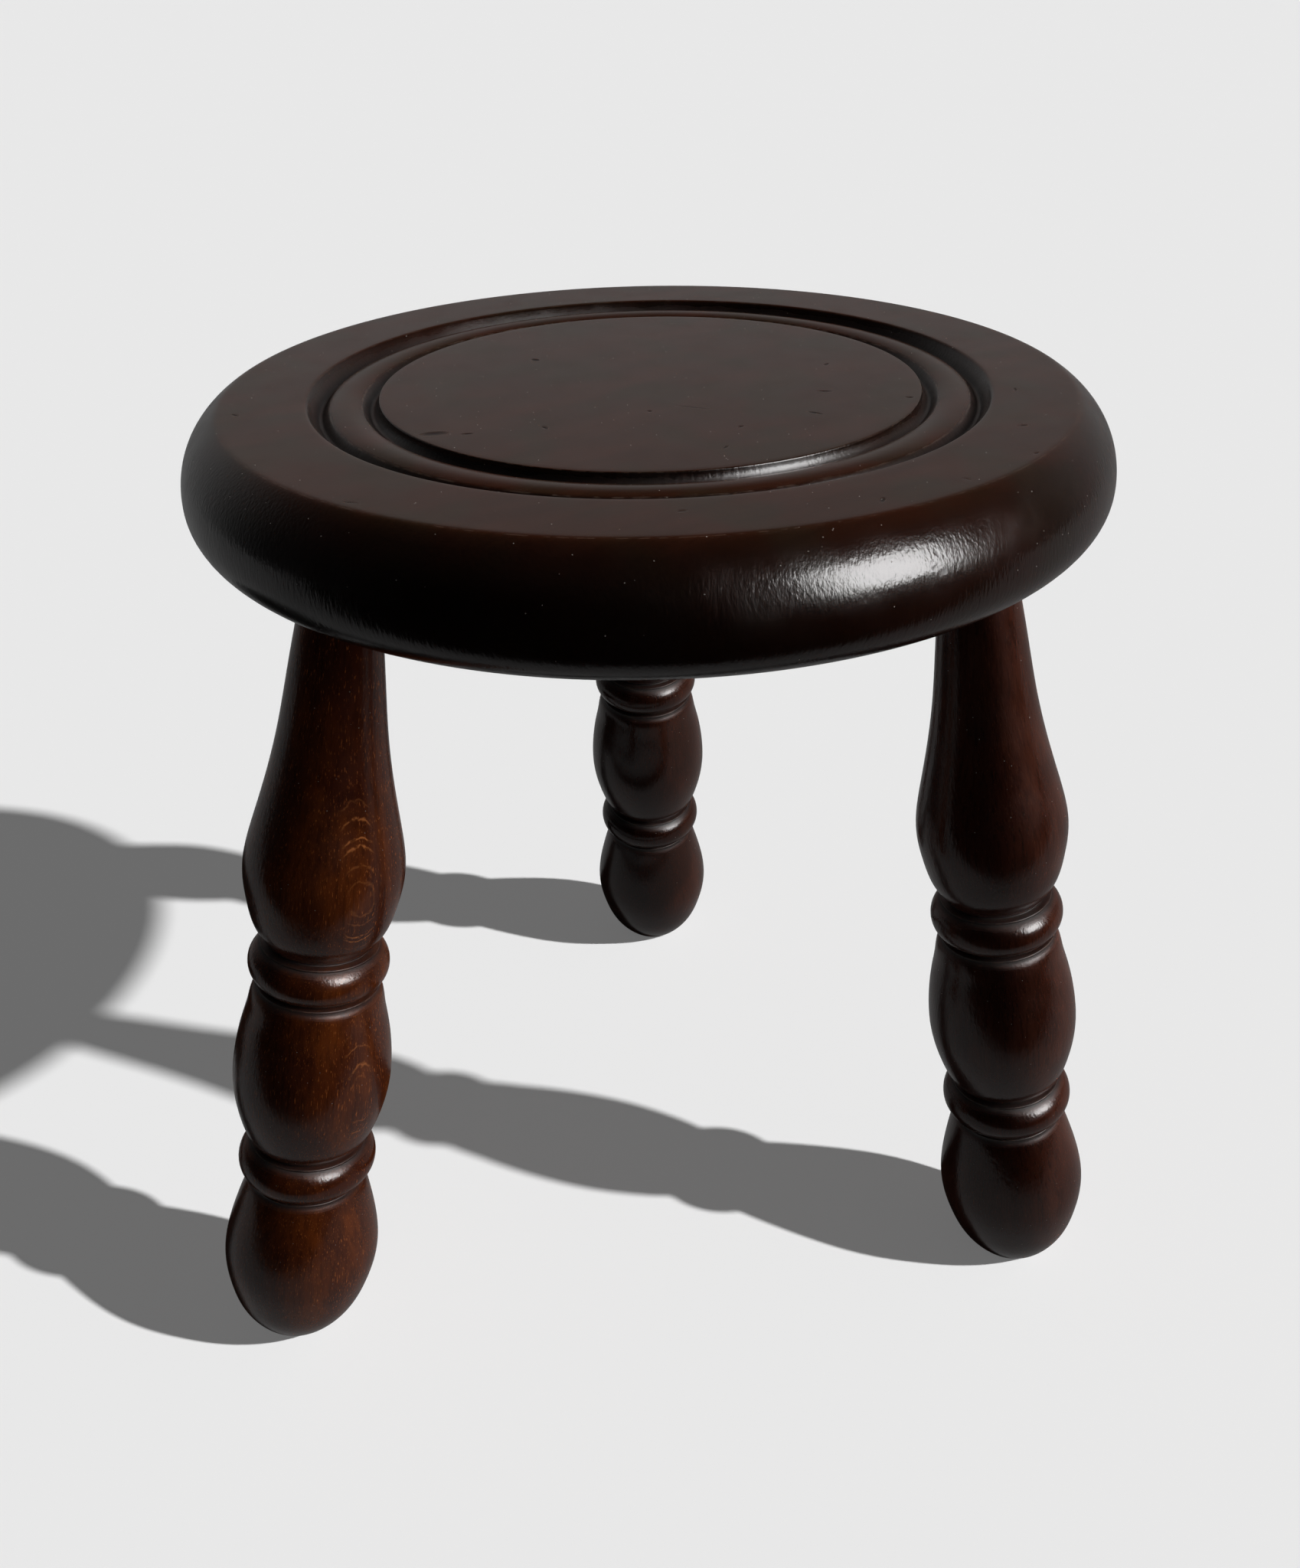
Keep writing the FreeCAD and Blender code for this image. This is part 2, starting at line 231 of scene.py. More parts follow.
@dataclass
class Outline:
    """Half the section of a turned piece, from its axis round to its axis.

    Each point is a radius and a height in mm. Wood lies to the right of the way it is drawn.
    A corner may be softened, as sanding and varnish leave it.
    """

    start: Pair
    runs: list[list[Vector]] = field(default_factory=list)
    softness: list[float] = field(default_factory=list)

    @property
    def pen(self) -> Vector:
        """Where the last run ended."""
        return self.runs[-1][-1] if self.runs else Vector(self.start)

    def line(self, radius: float, height: float, steps: int = 1, soft: float = 0.0) -> None:
        """Draws a straight run.

        Args:
            radius: where it ends.
            height: where it ends.
            steps: how many faces it is divided into.
            soft: how far the corner at its start is rounded, each way.
        """
        start, end = self.pen, Vector((radius, height))
        self.runs.append([start.lerp(end, step / steps) for step in range(steps + 1)])
        self.softness.append(soft)

    def bulge(self, radius: float, height: float, rise: float, steps: int,
              soft: float = 0.0) -> None:
        """Draws a circular run.

        Args:
            radius: where it ends.
            height: where it ends.
            rise: how far its middle stands out of the wood, or into it where negative.
            steps: how many faces it is divided into.
            soft: how far the corner at its start is rounded, each way.
        """
        start, end = self.pen, Vector((radius, height))
        half = (end - start) / 2
        out = Vector((-half.y, half.x)).normalized() * math.copysign(1, rise)
        bend = (half.length_squared + rise ** 2) / (2 * abs(rise))
        centre = (start + end) / 2 + out * (abs(rise) - bend)
        reach = math.asin(min(1.0, half.length / bend))
        along = half.normalized()
        angles = [reach * (2 * step / steps - 1) for step in range(steps + 1)]
        self.runs.append([centre + (along * math.sin(angle) + out * math.cos(angle)) * bend
                          for angle in angles])
        self.softness.append(soft)

    def sweep(self, poles: list[Pair], radius: float, height: float, steps: int,
              soft: float = 0.0) -> None:
        """Draws a free run that leans towards its poles.

        Args:
            poles: the points between its ends that pull the curve.
            radius: where it ends.
            height: where it ends.
            steps: how many faces it is divided into.
            soft: how far the corner at its start is rounded, each way.
        """
        control = [self.pen, *(Vector(pole) for pole in poles), Vector((radius, height))]
        self.runs.append([spline_point(control, step / steps) for step in range(steps + 1)])
        self.softness.append(soft)

    def corners(self, least_turn: float = 0.15) -> list[tuple[Vector, Corner]]:
        """The corners between runs, each with what it is.

        Args:
            least_turn: the sine of the turn past which a join is a corner.

        Returns:
            Each corner's place and kind, in the order they were drawn.
        """
        found = []
        for before, after in zip(self.runs, self.runs[1:]):
            coming = (before[-1] - before[-2]).normalized()
            going = (after[1] - after[0]).normalized()
            turn = coming.x * going.y - coming.y * going.x
            if abs(turn) > least_turn:
                found.append((after[0], Corner.ARRIS if turn < 0 else Corner.RECESS))
        return found

    def points(self, round_steps: int = 4) -> list[Vector]:
        """The whole section as one row of points, with its soft corners rounded.

        Args:
            round_steps: how many faces a soft corner gets.

        Returns:
            The points in the order they were drawn, none of them twice.
        """
        row = list(self.runs[0])
        for run, soft in zip(self.runs[1:], self.softness[1:]):
            if not soft:
                row += run[1:]
                continue
            corner = run[0]
            row = [point for point in row if (point - corner).length > soft]
            entry = corner + (row[-1] - corner).normalized() * soft
            rest = [point for point in run[1:] if (point - corner).length > soft]
            leave = corner + (rest[0] - corner).normalized() * soft
            for step in range(round_steps + 1):
                share = step / round_steps
                row.append(entry.lerp(corner, share).lerp(corner.lerp(leave, share), share))
            row += rest
        return row


def deselect_all() -> None:
    """Leaves nothing selected, in object mode."""
    if bpy.context.object and bpy.context.object.mode != "OBJECT":
        bpy.ops.object.mode_set(mode="OBJECT")
    bpy.ops.object.select_all(action="DESELECT")


def select_only(piece: bpy.types.Object) -> None:
    """Makes a piece the only selected object, and the active one.

    Args:
        piece: the object to select.
    """
    deselect_all()
    piece.select_set(True)
    bpy.context.view_layer.objects.active = piece


def turn_on_lathe(name: str, outline: Outline, facets: int) -> bpy.types.Object:
    """Turns a section about Z into a closed piece, and marks its corners.

    Args:
        name: the piece's name.
        outline: the half section.
        facets: how many faces go round.

    Returns:
        The piece, at the origin, with an attribute for each kind of corner.
    """
    row = [Vector((point.x, 0, point.y)) * MM for point in outline.points()]
    deselect_all()
    bpy.ops.mesh.primitive_plane_add(size=MM, location=row[0])
    piece = bpy.context.object
    piece.name = piece.data.name = name
    bpy.ops.object.transform_apply(location=True)
    bpy.ops.object.mode_set(mode="EDIT")
    bpy.ops.mesh.select_all(action="SELECT")
    bpy.ops.mesh.merge(type="CENTER")
    for here, there in zip(row, row[1:]):
        bpy.ops.mesh.extrude_vertices_move(TRANSFORM_OT_translate={"value": there - here})
    bpy.ops.mesh.select_all(action="SELECT")
    bpy.ops.mesh.spin(steps=facets, angle=FULL_TURN, center=(0, 0, 0), axis=UP)
    bpy.ops.mesh.select_all(action="SELECT")
    bpy.ops.mesh.remove_doubles(threshold=WELD * MM)
    bpy.ops.mesh.normals_make_consistent(inside=False)
    bpy.ops.object.mode_set(mode="OBJECT")
    mark_corners(piece, outline)
    return piece


def mark_corners(piece: bpy.types.Object, outline: Outline) -> None:
    """Writes how far each vertex is from the nearest arris and the nearest recess, in mm.

    Args:
        piece: a piece turned about its own Z.
        outline: the half section it was turned from.
    """
    for kind in Corner:
        places = [place for place, what in outline.corners() if what is kind]
        values = []
        for vertex in piece.data.vertices:
            here = Vector((math.hypot(vertex.co.x, vertex.co.y), vertex.co.z)) / MM
            values.append(min((here - place).length for place in places))
        attribute = piece.data.attributes.new(kind.value, "FLOAT", "POINT")
        attribute.data.foreach_set("value", values)


@dataclass(frozen=True)
class Knock:
    """A dent, nick or short scratch. Its place is in mm, and it runs along an azimuth."""

    place: tuple[float, float, float]
    length: float
    width: float
    depth: float
    azimuth: float

    MARGIN = 2.0                                # of finely divided surface round it
    STAIN_AND_SHADE_REACH = 2.5                           # its middle is darkened as a groove is, partly stain and partly painted shade, its rim not

    def nearness(self, point: Vector) -> float:
        """How near a point is to the knock's middle.

        Args:
            point: the point, in mm.

        Returns:
            One in the middle, easing to nothing at the rim.
        """
        away = point - Vector(self.place)
        along = away.dot(polar(1, self.azimuth))
        aside = (away.length_squared - along ** 2) / (self.width / 2) ** 2
        return max(0.0, 1 - (2 * along / self.length) ** 2 - aside)


def press_knocks(piece: bpy.types.Object, knocks: tuple[Knock, ...], cuts: int = 4) -> None:
    """Divides the surface finely round each knock, presses it in and darkens its middle as a groove.

    Args:
        piece: a turned piece with its corners marked.
        knocks: the knocks.
        cuts: how many times each edge near a knock is cut.
    """
    mesh = piece.data
    select_only(piece)
    bpy.context.tool_settings.mesh_select_mode = (False, False, True)
    bpy.ops.object.mode_set(mode="EDIT")
    bpy.ops.mesh.select_all(action="DESELECT")
    bpy.ops.object.mode_set(mode="OBJECT")
    for face in mesh.polygons:
        middle = face.center / MM
        face.select = any((middle - Vector(knock.place)).length < knock.length / 2 + Knock.MARGIN
                          for knock in knocks)
    bpy.ops.object.mode_set(mode="EDIT")
    bpy.ops.mesh.subdivide(number_cuts=cuts, smoothness=1.0)
    bpy.ops.object.mode_set(mode="OBJECT")
    bpy.context.tool_settings.mesh_select_mode = (True, False, False)
    recess = mesh.attributes[Corner.RECESS.value].data
    normals = [vertex.normal.copy() for vertex in mesh.vertices]
    for vertex, normal in zip(mesh.vertices, normals):
        point = vertex.co / MM
        for knock in knocks:
            near = knock.nearness(point)
            if near > 0:
                vertex.co -= normal * near ** 2 * knock.depth * MM
                # the recess mark darkens the knock's middle: partly stain, partly painted shade
                mark = recess[vertex.index]
                mark.value = min(mark.value, Knock.STAIN_AND_SHADE_REACH * (1 - near))


def cut_away(piece: bpy.types.Object, cutter: bpy.types.Object) -> None:
    """Takes a cutter's space out of a piece, and removes the cutter.

    Args:
        piece: what is cut.
        cutter: a closed mesh, standing where it cuts.
    """
    select_only(piece)
    bpy.ops.object.modifier_add(type="BOOLEAN")
    cut = piece.modifiers[-1]
    cut.operation = "DIFFERENCE"
    cut.solver = "EXACT"
    cut.object = cutter
    bpy.ops.object.modifier_apply(modifier=cut.name)
    bpy.data.objects.remove(cutter)


def finish_piece(piece: bpy.types.Object, node: str,
                 material: bpy.types.Material, crease: float = 40.0) -> None:
    """Shades a piece that is in place, dresses it and hands it to the frame.

    Args:
        piece: the finished mesh.
        node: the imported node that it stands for.
        material: its finish.
        crease: the angle in degrees past which an edge stays sharp.
    """
    piece.data.materials.clear()
    piece.data.materials.append(material)
    select_only(piece)
    bpy.ops.object.shade_smooth_by_angle(angle=math.radians(crease))
    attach(piece, BODY)
    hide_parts(node)
    LOG.info("%s: %d faces", piece.name, len(piece.data.polygons))


@dataclass(frozen=True)
class RingFigure:
    """Late wood of a few growth rings, which a leg's bellies cut as thin bright arcs.

    The rings are so wide that they lie flat within a leg. Each has its depth from the leg's axis
    and how well it shows. They draw in going down, and the grain spirals slowly.
    """

    azimuth: float                              # way out to the rings at the top, about the axis
    rings: tuple[Pair, ...] = ((16.1, 0.4), (17.0, 0.8), (18.1, 1.0), (18.6, 0.9),
                                (19.7, 0.3), (20.5, 0.25), (21.2, 0.25))
    ring_margin: float = 1.0                    # past the first and the last ring
    spiral: float = 0.14                        # degrees for each mm down
    slope: float = 0.04
    line_width: float = 0.22
    waver: float = 0.5                          # how far a ring wanders from its even round
    waver_size: float = 2.5
    break_size: float = 1.2                     # of the faint stretches along a line
    break_bounds: Pair = (0.36, 0.52)
    break_least: float = 0.15                   # what shows in a faint stretch
    reach: Pair = (2.5, 5.5)                    # across, where a line starts to fade and is gone
    strengths: tuple[Pair, ...] = ((60, 0.0), (74, 1.0), (113, 1.0), (120, 0.0), (150, 0.0),
                                   (154, 0.6), (163, 0.5), (168, 0.0), (183, 0.0), (188, 0.5),
                                   (196, 0.5), (200, 0.0))      # station down the leg, strength
    colour: str = "C87840"

    def lines(self, tree: Tree, place: Source) -> Source:
        """Draws the rings' lines.

        Args:
            tree: the material's tree.
            place: coordinates with Z up the leg's axis.

        Returns:
            The lines' strength.
        """
        height = add_node(tree, "SeparateXYZ", {0: place}).outputs["Z"]
        turn = add_node(tree, "Math", {0: height, 1: math.radians(self.spiral) / MM,
                                       2: -math.radians(self.azimuth)}, operation="MULTIPLY_ADD")
        faced = add_node(tree, "VectorRotate", {"Vector": place, "Angle": turn},
                         rotation_type="Z_AXIS")
        across = add_node(tree, "SeparateXYZ", {0: faced})
        waver = add_node(tree, "TexNoise", {"Vector": place, "Scale": per_mm(self.waver_size)[0],
                                            "Detail": 1.0})
        even = add_node(tree, "Math", {0: height, 1: self.slope, 2: across.outputs["X"]},
                        operation="MULTIPLY_ADD")
        depth = add_node(tree, "Math", {0: waver, 1: self.waver * MM, 2: even},
                         operation="MULTIPLY_ADD")
        half = self.line_width / 2
        line = look_up(tree, depth, self.rings[0][0] - self.ring_margin,
                       self.rings[-1][0] + self.ring_margin,
                       [(ring + offset, level) for ring, strength in self.rings
                        for offset, level in ((-half, 0.0), (0.0, strength), (half, 0.0))])
        aside = add_node(tree, "Math", {0: across.outputs["Y"]}, operation="ABSOLUTE")
        near, gone = self.reach
        facing = add_node(tree, "MapRange", {"Value": aside, "From Min": near * MM,
                                             "From Max": gone * MM, "To Min": 1.0, "To Max": 0.0},
                          interpolation_type="SMOOTHSTEP")
        bellies = look_up(tree, height, 0.0, -(self.strengths[-1][0] + self.ring_margin),
                          [(-station, level) for station, level in self.strengths])
        shown = add_node(tree, "Math", {0: facing, 1: bellies}, operation="MULTIPLY")
        drawn = add_node(tree, "Math", {0: line, 1: shown}, operation="MULTIPLY")
        breaks = add_node(tree, "TexNoise", {"Vector": place, "Scale": per_mm(self.break_size)[0],
                                             "Detail": 2.0})
        faint, full = self.break_bounds
        kept = add_node(tree, "MapRange", {"Value": breaks, "From Min": faint, "From Max": full,
                                           "To Min": self.break_least})
        return add_node(tree, "Math", {0: drawn, 1: kept}, operation="MULTIPLY")


@dataclass(frozen=True)
class StainedBeech:
    """Steamed beech, turned, stained dark brown and varnished with a brush.

    The stain lies in soft streaks along the grain. The grooves are darkened almost to black, partly by
    stain that sank into them and partly as painted shade, and steep faces can be painted darker as
    shade. The stain is thinner on the rays, which show as fine orange dashes, and on the hard late
    wood of the growth rings. The varnish gives one gloss over all, rippled a little by the brush, and
    specks of dust dried in it.
    """

    deep: str                                   # the densest stain, in streaks and on end grain; painted shade in the grooves and on steep faces
    ground: str                                 # most of the surface
    warm: str                                   # where the stain is thinner
    late_wood: str                              # ring lines and rays
    worn: str                                   # arrises rubbed through the stain
    cast: str                                   # a faint cooler or greener film in places
    figure: RingFigure | None = None
    dust: str = "8C8680"
    noise_roughness: float = 0.55
    ray_size: Pair = (0.35, 4.0)                # sizes are across the grain and along it
    ray_bounds: Pair = (0.6, 0.74)              # bounds are the noise where one starts and is full
    ray_strength: float = 0.2
    streak_size: Pair = (1.1, 22.0)
    streak_bounds: Pair = (0.46, 0.68)
    streak_strength: float = 0.35
    patch_size: Pair = (12.0, 40.0)
    patch_bounds: Pair = (0.4, 0.66)
    patch_strength: float = 1.0
    cast_size: Pair = (26.0, 26.0)
    cast_bounds: Pair = (0.46, 0.62)
    cast_strength: float = 0.5
    ripple_size: Pair = (0.9, 3.2)
    ripple_depth: float = 0.09
    level_ripple: float = 0.25                  # share of it where the varnish lay level and flowed out
    level_bounds: Pair = (0.75, 0.97)           # upward part of a normal that is steep, that is level
    recess_reach: float = 1.8
    # how dark the grooves are painted: partly pooled stain, partly painted shade
    groove_stain_and_shade_strength: float = 0.9
    arris_reach: float = 0.4
    worn_size: Pair = (3.0, 3.0)
    worn_bounds: Pair = (0.46, 0.6)
    worn_strength: float = 0.5
    end_grain_bounds: Pair = (0.15, 0.9)        # cosine of the grain's angle to the normal
    end_grain_strength: float = 0.4             # how much more stain it takes where it is cut across
    steep_face_shade_strength: float = 0.0                  # painted shade: how far all but level faces are darkened towards the deep colour
    gloss: Pair = (0.15, 0.24)                  # roughness, from the smoothest place to the dullest
    gloss_size: Pair = (12.0, 12.0)
    gloss_bounds: Pair = (0.3, 0.7)
    groove_dullness: float = 0.3                # what pooled stain adds to it in the grooves
    ior: float = 1.5                            # of an oil varnish
    pore_depth: float = 0.012
    dust_radius: float = 0.17
    dust_core: float = 0.6                      # the share of it that is full height
    dust_spacing: float = 3.6
    dust_height: float = 0.05
    dust_dullness: float = 0.5

    def grain(self, tree: Tree, place: Source, across: float, along: float,
              detail: float = 2.0) -> Source:
        """Noise whose features are that long in mm across the grain, Z, and along it."""
        scaled = add_node(tree, "Mapping", {"Vector": place, "Scale": per_mm(across, across, along)})
        return add_node(tree, "TexNoise", {"Vector": scaled, "Scale": 1.0, "Detail": detail,
                                           "Roughness": self.noise_roughness})

    def patches(self, tree: Tree, place: Source, size: Pair, bounds: Pair, strength: float,
                detail: float = 2.0) -> Source:
        """Patches or streaks along the grain, with soft edges.

        Args:
            tree: the material's tree.
            place: the piece's coordinates, with the grain along Z.
            size: their size in mm, across the grain and along it.
            bounds: the noise at which one starts and at which it is full.
            strength: how strong a full one is.
            detail: how many finer layers the noise has.

        Returns:
            Their strength.
        """
        start, full = bounds
        return add_node(tree, "MapRange", {"Value": self.grain(tree, place, *size, detail),
                                           "From Min": start, "From Max": full,
                                           "To Max": strength}, interpolation_type="SMOOTHSTEP")

    def near_corner(self, tree: Tree, kind: Corner, reach: float) -> Source:
        """One at corners of that kind, easing to nothing at the reach, in mm, that is given."""
        away = add_node(tree, "Attribute", attribute_name=kind.value)
        return add_node(tree, "MapRange", {"Value": away.outputs["Fac"], "From Max": reach,
                                           "To Min": 1.0, "To Max": 0.0},
                        interpolation_type="SMOOTHSTEP")

    def dress(self, name: str, lathe: Matrix, grain: Matrix) -> bpy.types.Material:
        """Makes the finish for one piece.

        Args:
            name: the material's name.
            lathe: the frame that the piece was turned in, Z along its axis, in metres.
            grain: the frame of the wood, Z along the grain.

        Returns:
            The material.
        """
        material, tree = new_material(name)
        coords = add_node(tree, "TexCoord").outputs["Object"]
        turned, wood = (add_node(tree, "Mapping", {"Vector": coords, "Location": lie.translation,
                                                   "Rotation": lie.to_euler()},
                                 vector_type="TEXTURE") for lie in (lathe, grain))

        thin_stain = self.patches(tree, wood, self.patch_size, self.patch_bounds,
                                  self.patch_strength, 3)
        film = self.patches(tree, turned, self.cast_size, self.cast_bounds, self.cast_strength, 1)
        streaks = self.patches(tree, wood, self.streak_size, self.streak_bounds,
                               self.streak_strength, 3)
        rays = self.patches(tree, wood, self.ray_size, self.ray_bounds, self.ray_strength)
        recess = self.near_corner(tree, Corner.RECESS, self.recess_reach)
        arris = self.near_corner(tree, Corner.ARRIS, self.arris_reach)
        rubbed = self.patches(tree, turned, self.worn_size, self.worn_bounds, self.worn_strength, 3)
        worn = add_node(tree, "Math", {0: arris, 1: rubbed}, operation="MULTIPLY")
        facing = add_node(tree, "VectorMath", {0: add_node(tree, "NewGeometry").outputs["Normal"],
                                               1: grain.to_3x3().col[2]}, operation="DOT_PRODUCT")
        slope = add_node(tree, "Math", {0: facing.outputs["Value"]}, operation="ABSOLUTE")
        sloped, across = self.end_grain_bounds
        end_grain = add_node(tree, "MapRange", {"Value": slope, "From Min": sloped,
                                                "From Max": across,
                                                "To Max": self.end_grain_strength})
        # painted shade: steep and hanging faces darkened towards the deep colour
        edge = self.steepness(tree, 0.0, self.steep_face_shade_strength)
        dust = self.dust_specks(tree, turned)
        # darkens the grooves towards the deep colour: partly pooled stain, partly painted shade
        groove_stain_and_shade = add_node(tree, "Math", {0: recess, 1: self.groove_stain_and_shade_strength}, operation="MULTIPLY")

        colour = linear(self.ground)
        # the groove and steep-face layers carry painted shade; the others are the wood's own colour,
        # wear and dust
        layers = [(thin_stain, self.warm), (film, self.cast), (streaks, self.deep),
                  (rays, self.late_wood), (end_grain, self.deep), (edge, self.deep),
                  (groove_stain_and_shade, self.deep), (worn, self.worn), (dust, self.dust)]
        if self.figure:
            over_rays = layers.index((rays, self.late_wood)) + 1
            layers.insert(over_rays, (self.figure.lines(tree, turned), self.figure.colour))
        for share, hex_colour in layers:
            laid = add_node(tree, "Mix", {0: share, 6: colour, 7: linear(hex_colour)},
                            data_type="RGBA")
            colour = laid.outputs[2]

        (start, full), (smooth, dull) = self.gloss_bounds, self.gloss
        sheen = add_node(tree, "MapRange", {"Value": self.grain(tree, turned, *self.gloss_size, 4),
                                            "From Min": start, "From Max": full,
                                            "To Min": smooth, "To Max": dull})
        pooled = add_node(tree, "Math", {
            0: self.near_corner(tree, Corner.RECESS, 2 * self.recess_reach),
            1: self.groove_dullness, 2: sheen}, operation="MULTIPLY_ADD")
        roughness = add_node(tree, "Math", {0: dust, 1: self.dust_dullness, 2: pooled},
                             operation="MULTIPLY_ADD", use_clamp=True)
        surface = add_node(tree, "BsdfPrincipled", {
            "Base Color": colour, "Roughness": roughness, "IOR": self.ior,
            "Normal": self.varnish_relief(tree, turned, rays, dust)})
        add_node(tree, "OutputMaterial", {"Surface": surface})
        return material

    def steepness(self, tree: Tree, level: float, steep: float) -> Source:
        """A share that differs between the faces that lie level and the others.

        Args:
            tree: the material's tree.
            level: its value on level faces.
            steep: its value on steep and hanging ones.

        Returns:
            The share.
        """
        normal = add_node(tree, "SeparateXYZ", {0: add_node(tree, "NewGeometry").outputs["Normal"]})
        leaning, flat = self.level_bounds
        return add_node(tree, "MapRange", {"Value": normal.outputs["Z"], "From Min": leaning,
                                           "From Max": flat, "To Min": steep, "To Max": level})

    def dust_specks(self, tree: Tree, place: Source) -> Source:
        """Specks of dust dried into the varnish, sparse and at random.

        Args:
            tree: the material's tree.
            place: the piece's coordinates.

        Returns:
            One on a speck, nothing elsewhere.
        """
        cell = add_node(tree, "TexVoronoi", {"Vector": place, "Scale": per_mm(self.dust_spacing)[0]})
        size = self.dust_radius / self.dust_spacing
        return add_node(tree, "MapRange", {"Value": cell, "From Min": self.dust_core * size,
                                           "From Max": size, "To Min": 1.0, "To Max": 0.0})

    def varnish_relief(self, tree: Tree, place: Source, rays: Source, dust: Source) -> Source:
        """The brushed varnish's ripple, the open grain under it and the dust in it.

        Args:
            tree: the material's tree.
            place: the piece's coordinates, with its axis along Z.
            rays: where the grain is open.
            dust: where specks stand up.

        Returns:
            The bent normal.
        """
        across, along = self.ripple_size
        ripple = add_node(tree, "Bump", {"Height": self.grain(tree, place, across, along, 2),
                                         "Strength": self.steepness(tree, self.level_ripple, 1.0),
                                         "Distance": self.ripple_depth * MM})
        pores = add_node(tree, "Bump", {"Height": rays, "Strength": 1.0, "Normal": ripple,
                                        "Distance": self.pore_depth * MM}, invert=True)
        return add_node(tree, "Bump", {"Height": dust, "Strength": 1.0, "Normal": pores,
                                       "Distance": self.dust_height * MM})


@dataclass(frozen=True)
class SplitBeech:
    """Bare beech, split and sawn for the hidden wedges: pale, dry and open grained."""

    pale: str = "C9A77C"
    dark: str = "9C7448"
    grain_size: Pair = (0.5, 9.0)
    grain_relief: float = 0.03
    roughness: float = 0.7

    def dress(self, name: str) -> bpy.types.Material:
        """Makes the finish.

        Args:
            name: the material's name.

        Returns:
            The material.
        """
        material, tree = new_material(name)
        coords = add_node(tree, "TexCoord").outputs["Object"]
        across, along = self.grain_size
        scaled = add_node(tree, "Mapping", {"Vector": coords, "Scale": per_mm(across, across, along)})
        fibre = add_node(tree, "TexNoise", {"Vector": scaled, "Scale": 1.0, "Detail": 3.0})
        colour = add_node(tree, "Mix", {0: fibre, 6: linear(self.pale), 7: linear(self.dark)},
                          data_type="RGBA")
        relief = add_node(tree, "Bump", {"Height": fibre, "Strength": 1.0,
                                         "Distance": self.grain_relief * MM})
        surface = add_node(tree, "BsdfPrincipled", {
            "Base Color": colour.outputs[2], "Roughness": self.roughness,
            "Normal": relief})
        add_node(tree, "OutputMaterial", {"Surface": surface})
        return material


